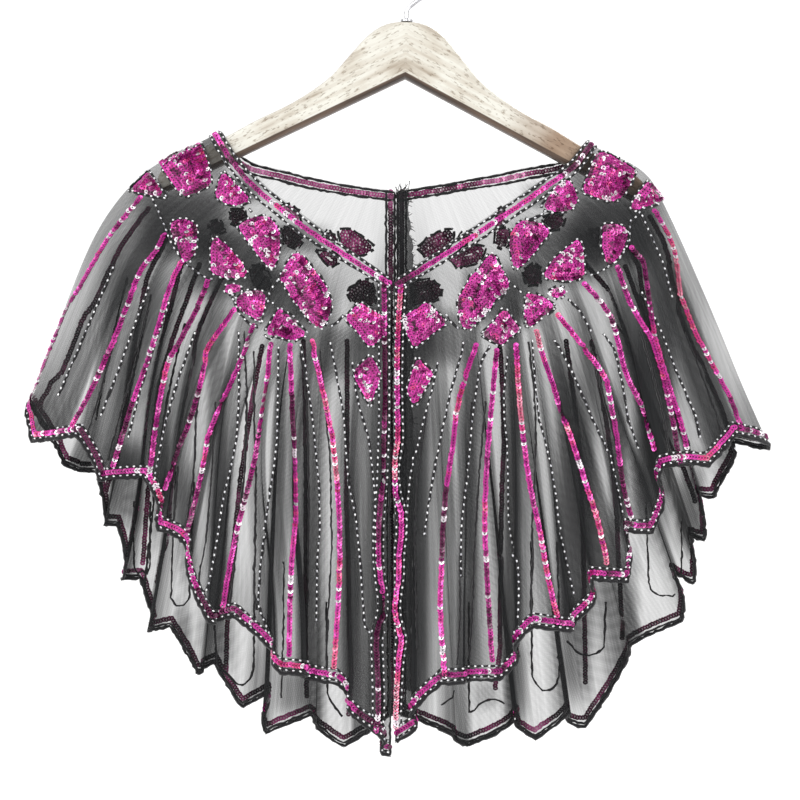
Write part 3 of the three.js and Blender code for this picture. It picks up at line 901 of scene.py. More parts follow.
class Projector:
    """Finds the places on both drapes of the marks that were read in the photograph."""

    def __init__(self, drapes: Sequence[Drape]) -> None:
        """Makes a search tree of each drape's faces."""
        self.trees = {drape.name: self.tree(drape) for drape in drapes}
        self.eye = np.array([CAMERA_X, -CAMERA_DISTANCE, CAMERA_Z]) / MM

    @staticmethod
    def tree(drape: Drape) -> BVHTree:
        """A search tree of the drape's quads.

        Args:
            drape: The half.

        Returns:
            The tree, with a quad's number for each face.
        """
        across, down = drape.points.shape[:2]
        i, j = np.meshgrid(np.arange(across - 1), np.arange(down - 1), indexing="ij")
        corner = (i * down + j).ravel()
        faces = np.column_stack([corner, corner + down, corner + down + 1, corner + 1])
        return BVHTree.FromPolygons(drape.points.reshape(-1, 3).tolist(), faces.tolist())

    def trace(self, drape: Drape, line: Sequence[Mark],
              layer: Layer = Layer.FRONT) -> list[np.ndarray]:
        """The paths on a drape of a line of marks.

        Args:
            drape: The half that the line is on.
            line: The line's marks.
            layer: The layer that it is on.

        Returns:
            Paths of (c, v), more than one where the line passes from one layer to another.
        """
        corners = np.array(line, dtype=float)
        run = arc_length(corners)
        stops = np.linspace(0, run[-1], max(int(run[-1] / MARK_STEP), 1) + 1)
        dense = np.column_stack([np.interp(stops, run, corners[:, k]) for k in range(2)])
        path = self.find(drape, marks(*map(tuple, dense)), layer)
        breaks = np.flatnonzero(np.abs(np.diff(path[:, 0])) > LAYER_JUMP) + 1
        return [part for part in np.split(path, breaks) if len(part) > 1]

    def find(self, drape: Drape, found: Sequence[Mark],
             layer: Layer = Layer.FRONT) -> np.ndarray:
        """The (c, v) of each mark.

        Args:
            drape: The half that the marks are on.
            found: The marks.
            layer: The layer that they are on.

        Returns:
            A row of c and v for each mark.
        """
        tree = self.trees[drape.name]
        down = drape.points.shape[1]
        rows = []
        for mark in found:
            x = (CAMERA_X + (mark.px - FRAME_PIXELS / 2) * PIXEL) / MM
            z = (CAMERA_Z - (mark.py - FRAME_PIXELS / 2) * PIXEL) / MM
            target = np.array([x, PICTURE_DEPTH / MM, z])
            way = unit(target - self.eye)
            start = self.eye
            if layer is Layer.BACK:
                start = self.eye + way * 2 * CAMERA_DISTANCE / MM
                way = -way
            hit, _, index, _ = tree.ray_cast(Vector(start), Vector(way))
            if hit is None:
                hit, _, index, _ = tree.find_nearest(Vector(target))
            i, j = divmod(index, down - 1)
            corner = drape.points[i, j]
            ahead = drape.points[i + 1, j] - corner
            edges = np.column_stack([ahead, drape.points[i, j + 1] - corner])
            a, b = np.linalg.lstsq(edges, np.array(hit) - corner, rcond=None)[0]
            c = drape.columns[i] + np.clip(a, 0, 1) * (drape.columns[i + 1] - drape.columns[i])
            rows.append((c, (j + np.clip(b, 0, 1)) / drape.rows))
        return np.array(rows)


def put(name: str, data: bpy.types.ID) -> bpy.types.Object:
    """An object with this data, placed in the scene."""
    made = bpy.data.objects.new(name, data)
    bpy.context.scene.collection.objects.link(made)
    return made


def corner_numbers(mesh: bpy.types.Mesh) -> np.ndarray:
    """The vertex at each corner of the mesh's faces."""
    numbers = np.empty(len(mesh.loops), dtype=np.int32)
    mesh.loops.foreach_get("vertex_index", numbers)
    return numbers


class Graph:
    """A material's nodes, with short ways to add and join them."""

    def __init__(self, name: str) -> None:
        """Starts the material with a Principled shader.

        Args:
            name: The material's name.
        """
        self.material = bpy.data.materials.new(name)
        self.material.use_nodes = True
        self.tree = self.material.node_tree
        self.shader = self.tree.nodes["Principled BSDF"]

    def node(self, kind: str, inputs: dict[str | int, object] | None = None,
             **values: object) -> bpy.types.Node:
        """Adds a node.

        Args:
            kind: The type's name, without its ShaderNode prefix.
            inputs: What each input is set to, or the output that it is joined to.
            values: Properties of the node.

        Returns:
            The node.
        """
        made = self.tree.nodes.new("ShaderNode" + kind)
        for key, value in values.items():
            setattr(made, key, value)
        for key, value in (inputs or {}).items():
            self.join(value, made.inputs[key])
        return made

    def join(self, value: object, socket: bpy.types.NodeSocket) -> None:
        """Joins an output to a socket, or sets the socket's value.

        Args:
            value: The output or the value.
            socket: The socket.
        """
        if isinstance(value, bpy.types.NodeSocket):
            self.tree.links.new(value, socket)
        else:
            socket.default_value = value

    def math(self, operation: str, a: object, b: object = 0.0) -> bpy.types.NodeSocket:
        """The result of a Math node."""
        return self.node("Math", {0: a, 1: b}, operation=operation).outputs[0]

    def ramp(self, factor: bpy.types.NodeSocket, stops: Stops) -> bpy.types.NodeSocket:
        """The colour of a ramp with these stops.

        Args:
            factor: What picks the colour.
            stops: The ramp's places and their colours.

        Returns:
            The colour.
        """
        made = self.node("ValToRGB", {"Fac": factor})
        elements = made.color_ramp.elements
        while len(elements) < len(stops):
            elements.new(0.5)
        for element, (position, color) in zip(elements, stops):
            element.position = position
            element.color = (*color, 1)
        return made.outputs["Color"]

    def plus(self, value: object, pattern: bpy.types.NodeSocket,
             amount: float) -> bpy.types.NodeSocket:
        """The value with amount times a pattern added."""
        return self.math("ADD", value, self.math("MULTIPLY", pattern, amount))

    def sway(self, value: object, pattern: bpy.types.NodeSocket,
             amount: float) -> bpy.types.NodeSocket:
        """The value moved up and down by a pattern about its middle."""
        return self.plus(value, self.math("SUBTRACT", pattern, 0.5), amount)

    def mix(self, factor: object, first: bpy.types.NodeSocket, second: bpy.types.NodeSocket,
            blend: str = "MIX") -> bpy.types.NodeSocket:
        """Two colours mixed, multiplied or the like."""
        inputs = {"Factor": factor, "A": first, "B": second}
        return self.node("Mix", inputs, data_type="RGBA", blend_type=blend).outputs["Result"]

    def noise(self, vector: bpy.types.NodeSocket, scale: float,
              detail: float = 2.0) -> bpy.types.NodeSocket:
        """The value of a noise pattern."""
        made = self.node("TexNoise", {"Vector": vector, "Scale": scale, "Detail": detail})
        return made.outputs["Fac"]

    def stretch(self, vector: bpy.types.NodeSocket, scale: tuple[float, float, float],
                turn: float = 0.0) -> bpy.types.NodeSocket:
        """Coordinates scaled along each axis after a turn about the third."""
        inputs = {"Vector": vector, "Scale": scale, "Rotation": (0, 0, turn)}
        return self.node("Mapping", inputs).outputs["Vector"]

    def bump(self, height: bpy.types.NodeSocket, distance: float, strength: float = 1.0) -> None:
        """Roughens the shader's surface by a height pattern, distance deep in metres."""
        made = self.node("Bump", {"Height": height, "Distance": distance, "Strength": strength})
        self.join(made.outputs["Normal"], self.shader.inputs["Normal"])

    def set(self, **inputs: object) -> None:
        """Sets or joins the shader's inputs, named with underscores."""
        for key, value in inputs.items():
            self.join(value, self.shader.inputs[key.replace("_", " ")])


@dataclass(frozen=True)
class NetFinish:
    """Sheer black net: how much one layer covers at the neck and at the hem."""

    name: str = "black_net"
    top_cover: float = 0.3
    hem_cover: float = 0.43
    mesh: float = 0.0023
    slant: float = math.radians(45)
    plain_thread: float = 0.8
    least_thread: float = 0.1
    weave_share: float = 0.25
    streak_share: float = 0.8
    cloud_share: float = 0.6
    streak_scale: tuple[float, float, float] = (260, 9, 1)
    cloud_scale: tuple[float, float, float] = (62, 6, 1)
    black: Stops = (
        (0.2, (0.008, 0.008, 0.009)),
        (0.8, (0.024, 0.025, 0.026)),
    )

    def build(self) -> bpy.types.Material:
        """Makes the net's material.

        Returns:
            The material, whose cover follows the cloth's own coordinates in metres.
        """
        g = Graph(self.name)
        uv = g.node("UVMap", uv_map="Cloth").outputs["UV"]
        net = g.node("UVMap", uv_map="Weave").outputs["UV"]
        # This attribute holds the layers of net, with painted shade added in patches.
        gather = g.node("Attribute", attribute_name="gather").outputs["Fac"]
        level = g.node("Attribute", attribute_name="level").outputs["Fac"]
        cells = []
        for turn in (self.slant, -self.slant):
            inputs = {"Vector": g.stretch(net, (1, 1, 1), turn), "Scale": math.pi / 10 / self.mesh,
                      "Distortion": 0.8, "Detail": 1.0, "Detail Scale": 2.0}
            cells.append(g.node("TexWave", inputs).outputs["Fac"])
        weave = g.math("MAXIMUM", *cells)
        streaks = g.noise(g.stretch(uv, self.streak_scale), 1.0, 3.0)
        clouds = g.noise(g.stretch(uv, self.cloud_scale), 1.0, 3.0)
        darker = g.math("MULTIPLY", level, self.hem_cover - self.top_cover)
        clear = g.math("SUBTRACT", 1 - self.top_cover, darker)
        thread = g.plus(self.plain_thread, weave, self.weave_share)
        thread = g.sway(thread, streaks, self.streak_share)
        thread = g.sway(thread, clouds, self.cloud_share)
        layers = g.math("MULTIPLY", g.math("MAXIMUM", thread, self.least_thread), gather)
        cover = g.math("SUBTRACT", 1.0, g.math("POWER", clear, layers))
        color = g.ramp(streaks, self.black)
        g.set(Base_Color=color, Roughness=0.8, Alpha=cover, Specular_IOR_Level=0.15,
              Sheen_Weight=0.05)
        g.bump(weave, 0.0004, 0.4)
        return g.material


@dataclass(frozen=True)
class SequinFinish:
    """Magenta sequins, whose tone attribute runs from maroon to fuchsia, rose and painted white glints.

    A tone of 0 is a sequin's inside, whose thin film is black, maroon or pink by turns, and
    pinker near the neck edge, where it catches the light.
    """

    name: str = "magenta_sequins"
    thread_at: float = 0.34
    dull_below: float = -0.245
    lit_above: float = -0.215
    lit_share: float = 0.11
    fleck_share: float = 0.25
    foil: Stops = (
        (0.0, (0.012, 0.003, 0.01)),
        (0.2, (0.1, 0.006, 0.05)),
        (0.4, (0.5, 0.025, 0.27)),
        (0.6, (0.8, 0.045, 0.46)),
        (0.8, (0.78, 0.055, 0.19)),
        # White at the top: painted glints.
        (0.97, (1.0, 0.9, 0.97)),
    )
    stitch: Stops = (
        (0.0, (0.01, 0.01, 0.01)),
        (0.2, (0.02, 0.015, 0.02)),
        (0.33, (1.0, 1.0, 1.0)),
    )
    hole: Stops = (
        (0.0, (0.8, 0.72, 0.76)),
        (0.26, (0.7, 0.6, 0.65)),
        (0.4, (0.0, 0.0, 0.0)),
    )
    film: Stops = (
        (0.36, (0.03, 0.006, 0.018)),
        (0.5, (0.16, 0.014, 0.07)),
        (0.6, (0.5, 0.04, 0.25)),
        (0.72, (0.88, 0.26, 0.58)),
    )

    def build(self) -> bpy.types.Material:
        """Makes the sequins' material.

        Returns:
            The material, with a dark thread at each sequin's middle.
        """
        g = Graph(self.name)
        tone = g.node("Attribute", attribute_name="tone").outputs["Fac"]
        uv = g.node("UVMap", uv_map="Cloth").outputs["UV"]
        place = g.node("TexCoord").outputs["Object"]
        flecks = g.noise(place, 900.0, 1.0)
        foil = g.ramp(g.sway(tone, flecks, self.fleck_share), self.foil)
        thread = {0: uv, 1: (self.thread_at, 0, 0)}
        from_thread = g.node("VectorMath", thread, operation="DISTANCE").outputs["Value"]
        face = g.mix(1.0, foil, g.ramp(from_thread, self.stitch), "MULTIPLY")
        from_hole = g.node("VectorMath", {0: uv}, operation="LENGTH").outputs["Value"]
        height = g.node("SeparateXYZ", {"Vector": place}).outputs["Z"]
        rise = {"Value": height, "From Min": self.dull_below, "From Max": self.lit_above}
        lit = g.node("MapRange", rise).outputs["Result"]
        stretches = g.plus(g.noise(place, 38.0, 1.0), lit, self.lit_share)
        inside = g.mix(1.0, g.ramp(stretches, self.film), g.ramp(from_hole, self.hole), "LIGHTEN")
        color = g.mix(g.math("LESS_THAN", tone, 0.05), face, inside)
        g.set(Base_Color=color, Metallic=0.45, Roughness=0.3, Coat_Weight=0.6, Coat_Roughness=0.12)
        g.bump(flecks, 0.0003, 0.5)
        return g.material


@dataclass(frozen=True)
class BeadFinish:
    """Silver-lined glass beads, bright with grey flecks."""

    name: str = "silver_beads"
    silver: Stops = (
        (0.0, (0.42, 0.42, 0.46)),
        (0.5, (0.8, 0.8, 0.83)),
        (1.0, (1.0, 1.0, 1.0)),
    )

    def build(self) -> bpy.types.Material:
        """Makes the beads' material.

        Returns:
            The material, which reads each bead's tone.
        """
        g = Graph(self.name)
        tone = g.node("Attribute", attribute_name="tone").outputs["Fac"]
        flecks = g.noise(g.node("TexCoord").outputs["Object"], 1400.0, 2.0)
        g.set(Base_Color=g.ramp(tone, self.silver), Metallic=0.55,
              Roughness=g.plus(0.08, flecks, 0.2), Coat_Weight=1.0, Coat_Roughness=0.03)
        g.bump(flecks, 0.0001, 0.4)
        return g.material


@dataclass(frozen=True)
class ThreadFinish:
    """Matt black thread of chain stitch and braid."""

    name: str = "black_thread"
    black: Stops = (
        (0.1, (0.004, 0.004, 0.005)),
        (0.9, (0.022, 0.02, 0.023)),
    )

    def build(self) -> bpy.types.Material:
        """Makes the thread's material.

        Returns:
            The material, with fine twisted fibres.
        """
        g = Graph(self.name)
        place = g.node("TexCoord").outputs["Object"]
        twist = {"Vector": place, "Scale": 420.0, "Distortion": 6.0, "Detail": 2.0}
        fibre = g.node("TexWave", twist).outputs["Fac"]
        g.set(Base_Color=g.ramp(fibre, self.black), Roughness=0.85, Specular_IOR_Level=0.3,
              Sheen_Weight=0.25)
        g.bump(fibre, 0.0004, 0.7)
        return g.material


@dataclass(frozen=True)
class WoodFinish:
    """Pale worn wood, browner at one end, with brown shade painted along its underside.

    The arms fall away on both sides at slope from the notch under the hanger's middle, and
    eased is how far above their lower edge the painted shade reaches.
    """

    name: str = "pale_wood"
    tilt: float = math.radians(1.5)
    shift: float = 0.004
    notch: float = -0.1105
    slope: float = 0.511
    eased: float = 0.0052
    worn: Stops = (
        (0.34, (0.42, 0.35, 0.27)),
        (0.45, (0.66, 0.61, 0.52)),
        (0.58, (0.8, 0.78, 0.7)),
    )
    brown: Stops = (
        (0.3, (0.14, 0.085, 0.052)),
        (0.48, (0.3, 0.2, 0.13)),
        (0.66, (0.42, 0.3, 0.21)),
    )
    under: Stops = (
        (0.3, (0.03, 0.018, 0.012)),
        (0.55, (0.09, 0.055, 0.036)),
        (0.7, (0.14, 0.09, 0.062)),
    )
    specks: Stops = (
        (0.32, (0.55, 0.5, 0.45)),
        (0.42, (1.0, 1.0, 1.0)),
    )
    brown_end: Stops = (
        (0.07, (0.0, 0.0, 0.0)),
        (0.12, (1.0, 1.0, 1.0)),
    )
    lower_edge: Stops = (
        (0.46, (1.0, 1.0, 1.0)),
        (0.52, (0.0, 0.0, 0.0)),
    )

    def build(self) -> bpy.types.Material:
        """Makes the hanger's wood.

        Returns:
            The material, with grain along the hanger's arms.
        """
        g = Graph(self.name)
        place = g.node("TexCoord").outputs["Object"]
        turned = g.node("Mapping", {"Vector": place, "Location": (-self.shift, 0, 0),
                                    "Rotation": (0, -self.tilt, 0)}).outputs["Vector"]
        parts = g.node("SeparateXYZ", {"Vector": turned}).outputs
        out = g.math("ABSOLUTE", parts["X"])
        arm = g.plus(parts["Z"], out, self.slope)
        lanes = g.node("CombineXYZ", {"X": out, "Y": parts["Y"], "Z": arm}).outputs["Vector"]
        grain = g.noise(g.stretch(lanes, (16, 90, 210)), 1.0, 6.0)
        cloud = g.noise(place, 24.0, 3.0)
        pits = g.noise(g.stretch(lanes, (240, 500, 700)), 1.0, 2.0)
        wear = g.math("ADD", g.math("MULTIPLY", grain, 0.55), g.math("MULTIPLY", cloud, 0.45))
        end = g.ramp(g.plus(parts["X"], cloud, -0.03), self.brown_end)
        face = g.mix(end, g.ramp(wear, self.worn), g.ramp(wear, self.brown))
        face = g.mix(1.0, face, g.ramp(pits, self.specks), "MULTIPLY")
        # Painted shade along the arms' lower edge.
        above = g.math("DIVIDE", g.math("SUBTRACT", arm, self.notch), 2 * self.eased)
        color = g.mix(g.ramp(above, self.lower_edge), face, g.ramp(grain, self.under))
        g.set(Base_Color=color, Roughness=g.plus(0.35, cloud, 0.25), Coat_Weight=0.25,
              Coat_Roughness=0.25)
        g.bump(grain, 0.0005, 0.35)
        return g.material


@dataclass(frozen=True)
class SteelFinish:
    """Bright plated steel wire with fine drawn marks."""

    name: str = "bright_steel"
    plating: Stops = (
        (0.3, (0.5, 0.5, 0.52)),
        (0.7, (0.78, 0.78, 0.8)),
    )

    def build(self) -> bpy.types.Material:
        """Makes the hook's steel.

        Returns:
            The material.
        """
        g = Graph(self.name)
        place = g.node("TexCoord").outputs["Object"]
        drawn = g.noise(g.stretch(place, (300, 300, 30)), 1.0, 4.0)
        g.set(Base_Color=g.ramp(drawn, self.plating), Metallic=1.0,
              Roughness=g.plus(0.15, drawn, 0.2))
        g.bump(drawn, 0.0002, 0.3)
        return g.material


@dataclass
class Run:
    """Places along a line on a drape: their points, directions and normals, in millimetres."""

    points: np.ndarray
    ways: np.ndarray
    normals: np.ndarray

    @classmethod
    def along(cls, drape: Drape, path: np.ndarray, pitch: float) -> "Run":
        """Even places along a path on the drape.

        Args:
            drape: The half that the path is on.
            path: The path's corners, as rows of c and v.
            pitch: The distance between places.

        Returns:
            The run.
        """
        dense = path_between(path)
        points = drape.sample(drape.points, dense[:, 0], dense[:, 1])
        run = arc_length(points)
        count = max(int(run[-1] / pitch), 1)
        stops = (np.arange(count) + 0.5) * run[-1] / count
        c = np.interp(stops, run, dense[:, 0])
        v = np.interp(stops, run, dense[:, 1])
        found = drape.sample(drape.points, c, v)
        normals = unit(drape.sample(drape.normals, c, v))
        ways = unit(np.gradient(found, axis=0)) if count > 1 else unit(points[-1:] - points[:1])
        ways = unit(ways - normals * np.sum(ways * normals, axis=-1, keepdims=True))
        return cls(found, ways, normals)


def path_between(path: np.ndarray, steps: int = 12) -> np.ndarray:
    """Divides a path's steps.

    Args:
        path: Rows of c and v.
        steps: How many short steps each of its own becomes.

    Returns:
        The longer list of rows.
    """
    places = np.arange(len(path))
    fine = np.linspace(0, len(path) - 1, (len(path) - 1) * steps + 1)
    return np.column_stack([np.interp(fine, places, path[:, k]) for k in range(2)])


class Stamp:
    """One small shape, made once and set down many times in one mesh."""

    def __init__(self, shape: bmesh.types.BMesh) -> None:
        """Keeps the shape's corners and triangles.

        Args:
            shape: The shape, which is freed.
        """
        bmesh.ops.triangulate(shape, faces=shape.faces)
        shape.verts.index_update()
        self.corners = np.array([vertex.co[:] for vertex in shape.verts])
        self.shade = np.ones(len(self.corners))
        self.faces = np.array([[vertex.index for vertex in face.verts] for face in shape.faces])
        shape.free()

    @classmethod
    def sequin(cls, radius: float, cup: float, sides: int = 8, back_sides: int = 7,
               back_z: float = -0.22) -> "Stamp":
        """Makes a round sequin, slightly cupped, that faces +Z and has a dark back.

        Args:
            radius: Its radius, in millimetres.
            cup: How far its rim stands up.
            sides: How many sides its face has.
            back_sides: How many sides its back has.
            back_z: How far its back lies from its face.

        Returns:
            The stamp.
        """
        shape = bmesh.new()
        bmesh.ops.create_circle(shape, cap_ends=True, cap_tris=True, segments=sides, radius=radius)
        for vertex in shape.verts:
            vertex.co.z = cup * (vertex.co.xy.length / radius) ** 2
        front = len(shape.verts)
        bmesh.ops.create_circle(shape, cap_ends=True, segments=back_sides, radius=radius)
        shape.verts.ensure_lookup_table()
        for vertex in shape.verts[front:]:
            vertex.co.z = back_z
        stamp = cls(shape)
        stamp.shade[front:] = 0.0
        return stamp

    @classmethod
    def bead(cls, length: float, width: float) -> "Stamp":
        """Makes a bead whose long side runs along X.

        Args:
            length: Its length, in millimetres.
            width: Its width.

        Returns:
            The stamp.
        """
        shape = bmesh.new()
        bmesh.ops.create_uvsphere(shape, u_segments=7, v_segments=5, radius=0.5)
        bmesh.ops.scale(shape, vec=(width, width, length), verts=shape.verts)
        turned = ((0, 0, 1), (0, 1, 0), (-1, 0, 0))
        for vertex in shape.verts:
            vertex.co = [sum(a * b for a, b in zip(row, vertex.co)) for row in turned]
        return cls(shape)

    def set_down(self, name: str, origins: np.ndarray, axes: np.ndarray, tones: np.ndarray,
                 smooth: bool) -> bpy.types.Object:
        """Joins a copy of the shape at each place into one object.

        Args:
            name: The object's name.
            origins: Where each copy's origin goes, in millimetres.
            axes: Each copy's X, Y and Z directions, as rows of a matrix.
            tones: Each copy's tone attribute.
            smooth: Whether the copies are shaded smooth.

        Returns:
            The object, in metres.
        """
        count, corners = len(origins), len(self.corners)
        points = origins[:, None, :] + np.einsum("vk,nkx->nvx", self.corners, axes)
        faces = self.faces[None] + (np.arange(count) * corners)[:, None, None]
        mesh = bpy.data.meshes.new(name)
        mesh.from_pydata((points.reshape(-1, 3) * MM).tolist(), [], faces.reshape(-1, 3).tolist())
        tone = mesh.attributes.new("tone", "FLOAT", "POINT")
        tone.data.foreach_set("value", np.outer(tones, self.shade).ravel().astype(np.float32))
        flat = self.corners[:, :2] / np.abs(self.corners).max()
        loops = corner_numbers(mesh)
        layer = mesh.uv_layers.new(name="Cloth")
        layer.data.foreach_set("uv", np.tile(flat, (count, 1))[loops].ravel().astype(np.float32))
        mesh.polygons.foreach_set("use_smooth", np.full(len(mesh.polygons), smooth))
        mesh.update()
        return put(name, mesh)


def dress(piece: bpy.types.Object, material: bpy.types.Material) -> bpy.types.Object:
    """Gives a new piece its material, its body and its slot, and logs it.

    Args:
        piece: The piece.
        material: Its finish.

    Returns:
        The same piece.
    """
    piece.data.materials.clear()
    piece.data.materials.append(material)
    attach(piece, ROOT)
    LOG.info("%s: %d faces", piece.name, len(piece.data.polygons))
    return piece


def tubes(name: str, lines: Iterable[tuple[np.ndarray, float]],
          roughness: float = 0.22) -> bpy.types.Object:
    """One mesh of round cords.

    Args:
        name: The object's name.
        lines: Each cord's points and radius, in millimetres.
        roughness: How much the stitches swell and wander, as a share of the radius.

    Returns:
        The object, in metres.
    """
    curve = bpy.data.curves.new(name, "CURVE")
    curve.dimensions = "3D"
    curve.bevel_depth = MM
    curve.bevel_resolution = 0
    curve.use_fill_caps = True
    random = np.random.default_rng(len(name))
    for points, radius in lines:
        spline = curve.splines.new("POLY")
        spline.points.add(len(points) - 1)
        rough = points + random.normal(0, roughness * radius, points.shape)
        spline.points.foreach_set("co", np.column_stack([rough * MM, np.ones(len(points))]).ravel())
        swell = 1 + random.normal(0, roughness, len(points))
        spline.points.foreach_set("radius", radius * np.clip(swell, 0.5, 1.5))
    holder = bpy.data.objects.new(name + "_curve", curve)
    mesh = bpy.data.meshes.new_from_object(holder)
    mesh.name = name
    bpy.data.objects.remove(holder)
    bpy.data.curves.remove(curve)
    mesh.polygons.foreach_set("use_smooth", np.ones(len(mesh.polygons), dtype=bool))
    return put(name, mesh)


def cloth(name: str, points: np.ndarray, values: dict[str, np.ndarray],
          coordinates: dict[str, np.ndarray], flip: bool) -> bpy.types.Object:
    """A single open sheet of cloth over a grid of points.

    Args:
        name: The object's name.
        points: The grid, in millimetres.
        values: Attributes, each a grid of numbers.
        coordinates: UV maps, each a grid of pairs in metres.
        flip: Whether the faces are turned over.

    Returns:
        The object, in metres.
    """
    across, down = points.shape[:2]
    shape = bmesh.new()
    bmesh.ops.create_grid(shape, x_segments=across - 1, y_segments=down - 1, size=0.5)
    spots = np.array([vertex.co[:2] for vertex in shape.verts]) + 0.5
    i = np.rint(spots[:, 0] * (across - 1)).astype(int)
    j = np.rint(spots[:, 1] * (down - 1)).astype(int)
    for vertex, point in zip(shape.verts, points[i, j] * MM):
        vertex.co = point
    if flip:
        bmesh.ops.reverse_faces(shape, faces=shape.faces)
    mesh = bpy.data.meshes.new(name)
    shape.to_mesh(mesh)
    shape.free()
    loops = corner_numbers(mesh)
    for key, grid in coordinates.items():
        layer = mesh.uv_layers.new(name=key)
        layer.data.foreach_set("uv", grid[i, j][loops].ravel().astype(np.float32))
    for key, grid in values.items():
        attribute = mesh.attributes.new(key, "FLOAT", "POINT")
        attribute.data.foreach_set("value", grid[i, j].astype(np.float32))
    mesh.polygons.foreach_set("use_smooth", np.ones(len(mesh.polygons), dtype=bool))
    return put(name, mesh)


@dataclass
class NetSheet:
    """One half's sheer net, a single open sheet.

    The gathers say how many layers of flat net it shows, aslant and where it laps, plus painted shade.
    """

    drape: Drape
    finish: bpy.types.Material
    flat_width: float
    flat_length: float
    flat_area: float
    most_gather: float = 1.3
    fold_gather: float = 2.6
    least_gather: float = 0.4
    least_facing: float = 0.1
    lap_reach: float = 0.95
    lap_ease: float = 0.5
    lap_levels: tuple[float, float] = (0.12, 0.5)

    def build(self) -> bpy.types.Object:
        """Makes the sheet on the drape's grid of points.

        Returns:
            The sheet, which replaces its half's solid.
        """
        drape = self.drape
        hem = np.broadcast_to(drape.from_front[:, -1:], drape.from_front.shape)
        coordinates = {
            "Cloth": np.stack([hem, drape.from_neck], axis=-1) * MM,
            "Weave": np.stack([drape.from_front, drape.from_neck], axis=-1) * MM,
        }
        levels = np.broadcast_to(drape.levels, drape.from_front.shape)
        values = {"gather": self.gather(), "level": levels}
        piece = cloth("net_" + drape.name, drape.points, values, coordinates, drape.side < 0)
        dress(piece, self.finish)
        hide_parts(drape.name)
        return piece

    def gather(self) -> np.ndarray:
        """Works out how much net each point of the grid shows, with painted shade added.

        Returns:
            How many times more it is than flat net, with the painted shade patches added in.
        """
        drape = self.drape
        facing = np.abs(drape.normals[..., 1])
        gather = np.minimum(1 / np.maximum(facing, self.least_facing), self.most_gather)
        c = drape.columns
        inside = np.abs(c - 2 * np.floor((c + 1) / 2) + 0.5)
        between = (c > 0.5) & (c < drape.end - 0.5)
        turned = smoothstep(self.lap_reach - inside, 0, self.lap_ease) * between
        deep = smoothstep(drape.levels, *self.lap_levels)
        gather = gather * (1 + self.fold_gather * turned[:, None] * deep[None, :])
        seen = seen_from_camera(drape.points)
        # Painted shade: each patch darkens the net as if more net lay there.
        for shade in GATHERS_AND_SHADE:
            offset = (seen - (shade.px, shade.py)) / (shade.half_width, shade.half_height)
            gather = gather + shade.amount * np.exp(-np.sum(offset ** 4, axis=-1))
        return np.maximum(gather, self.least_gather)


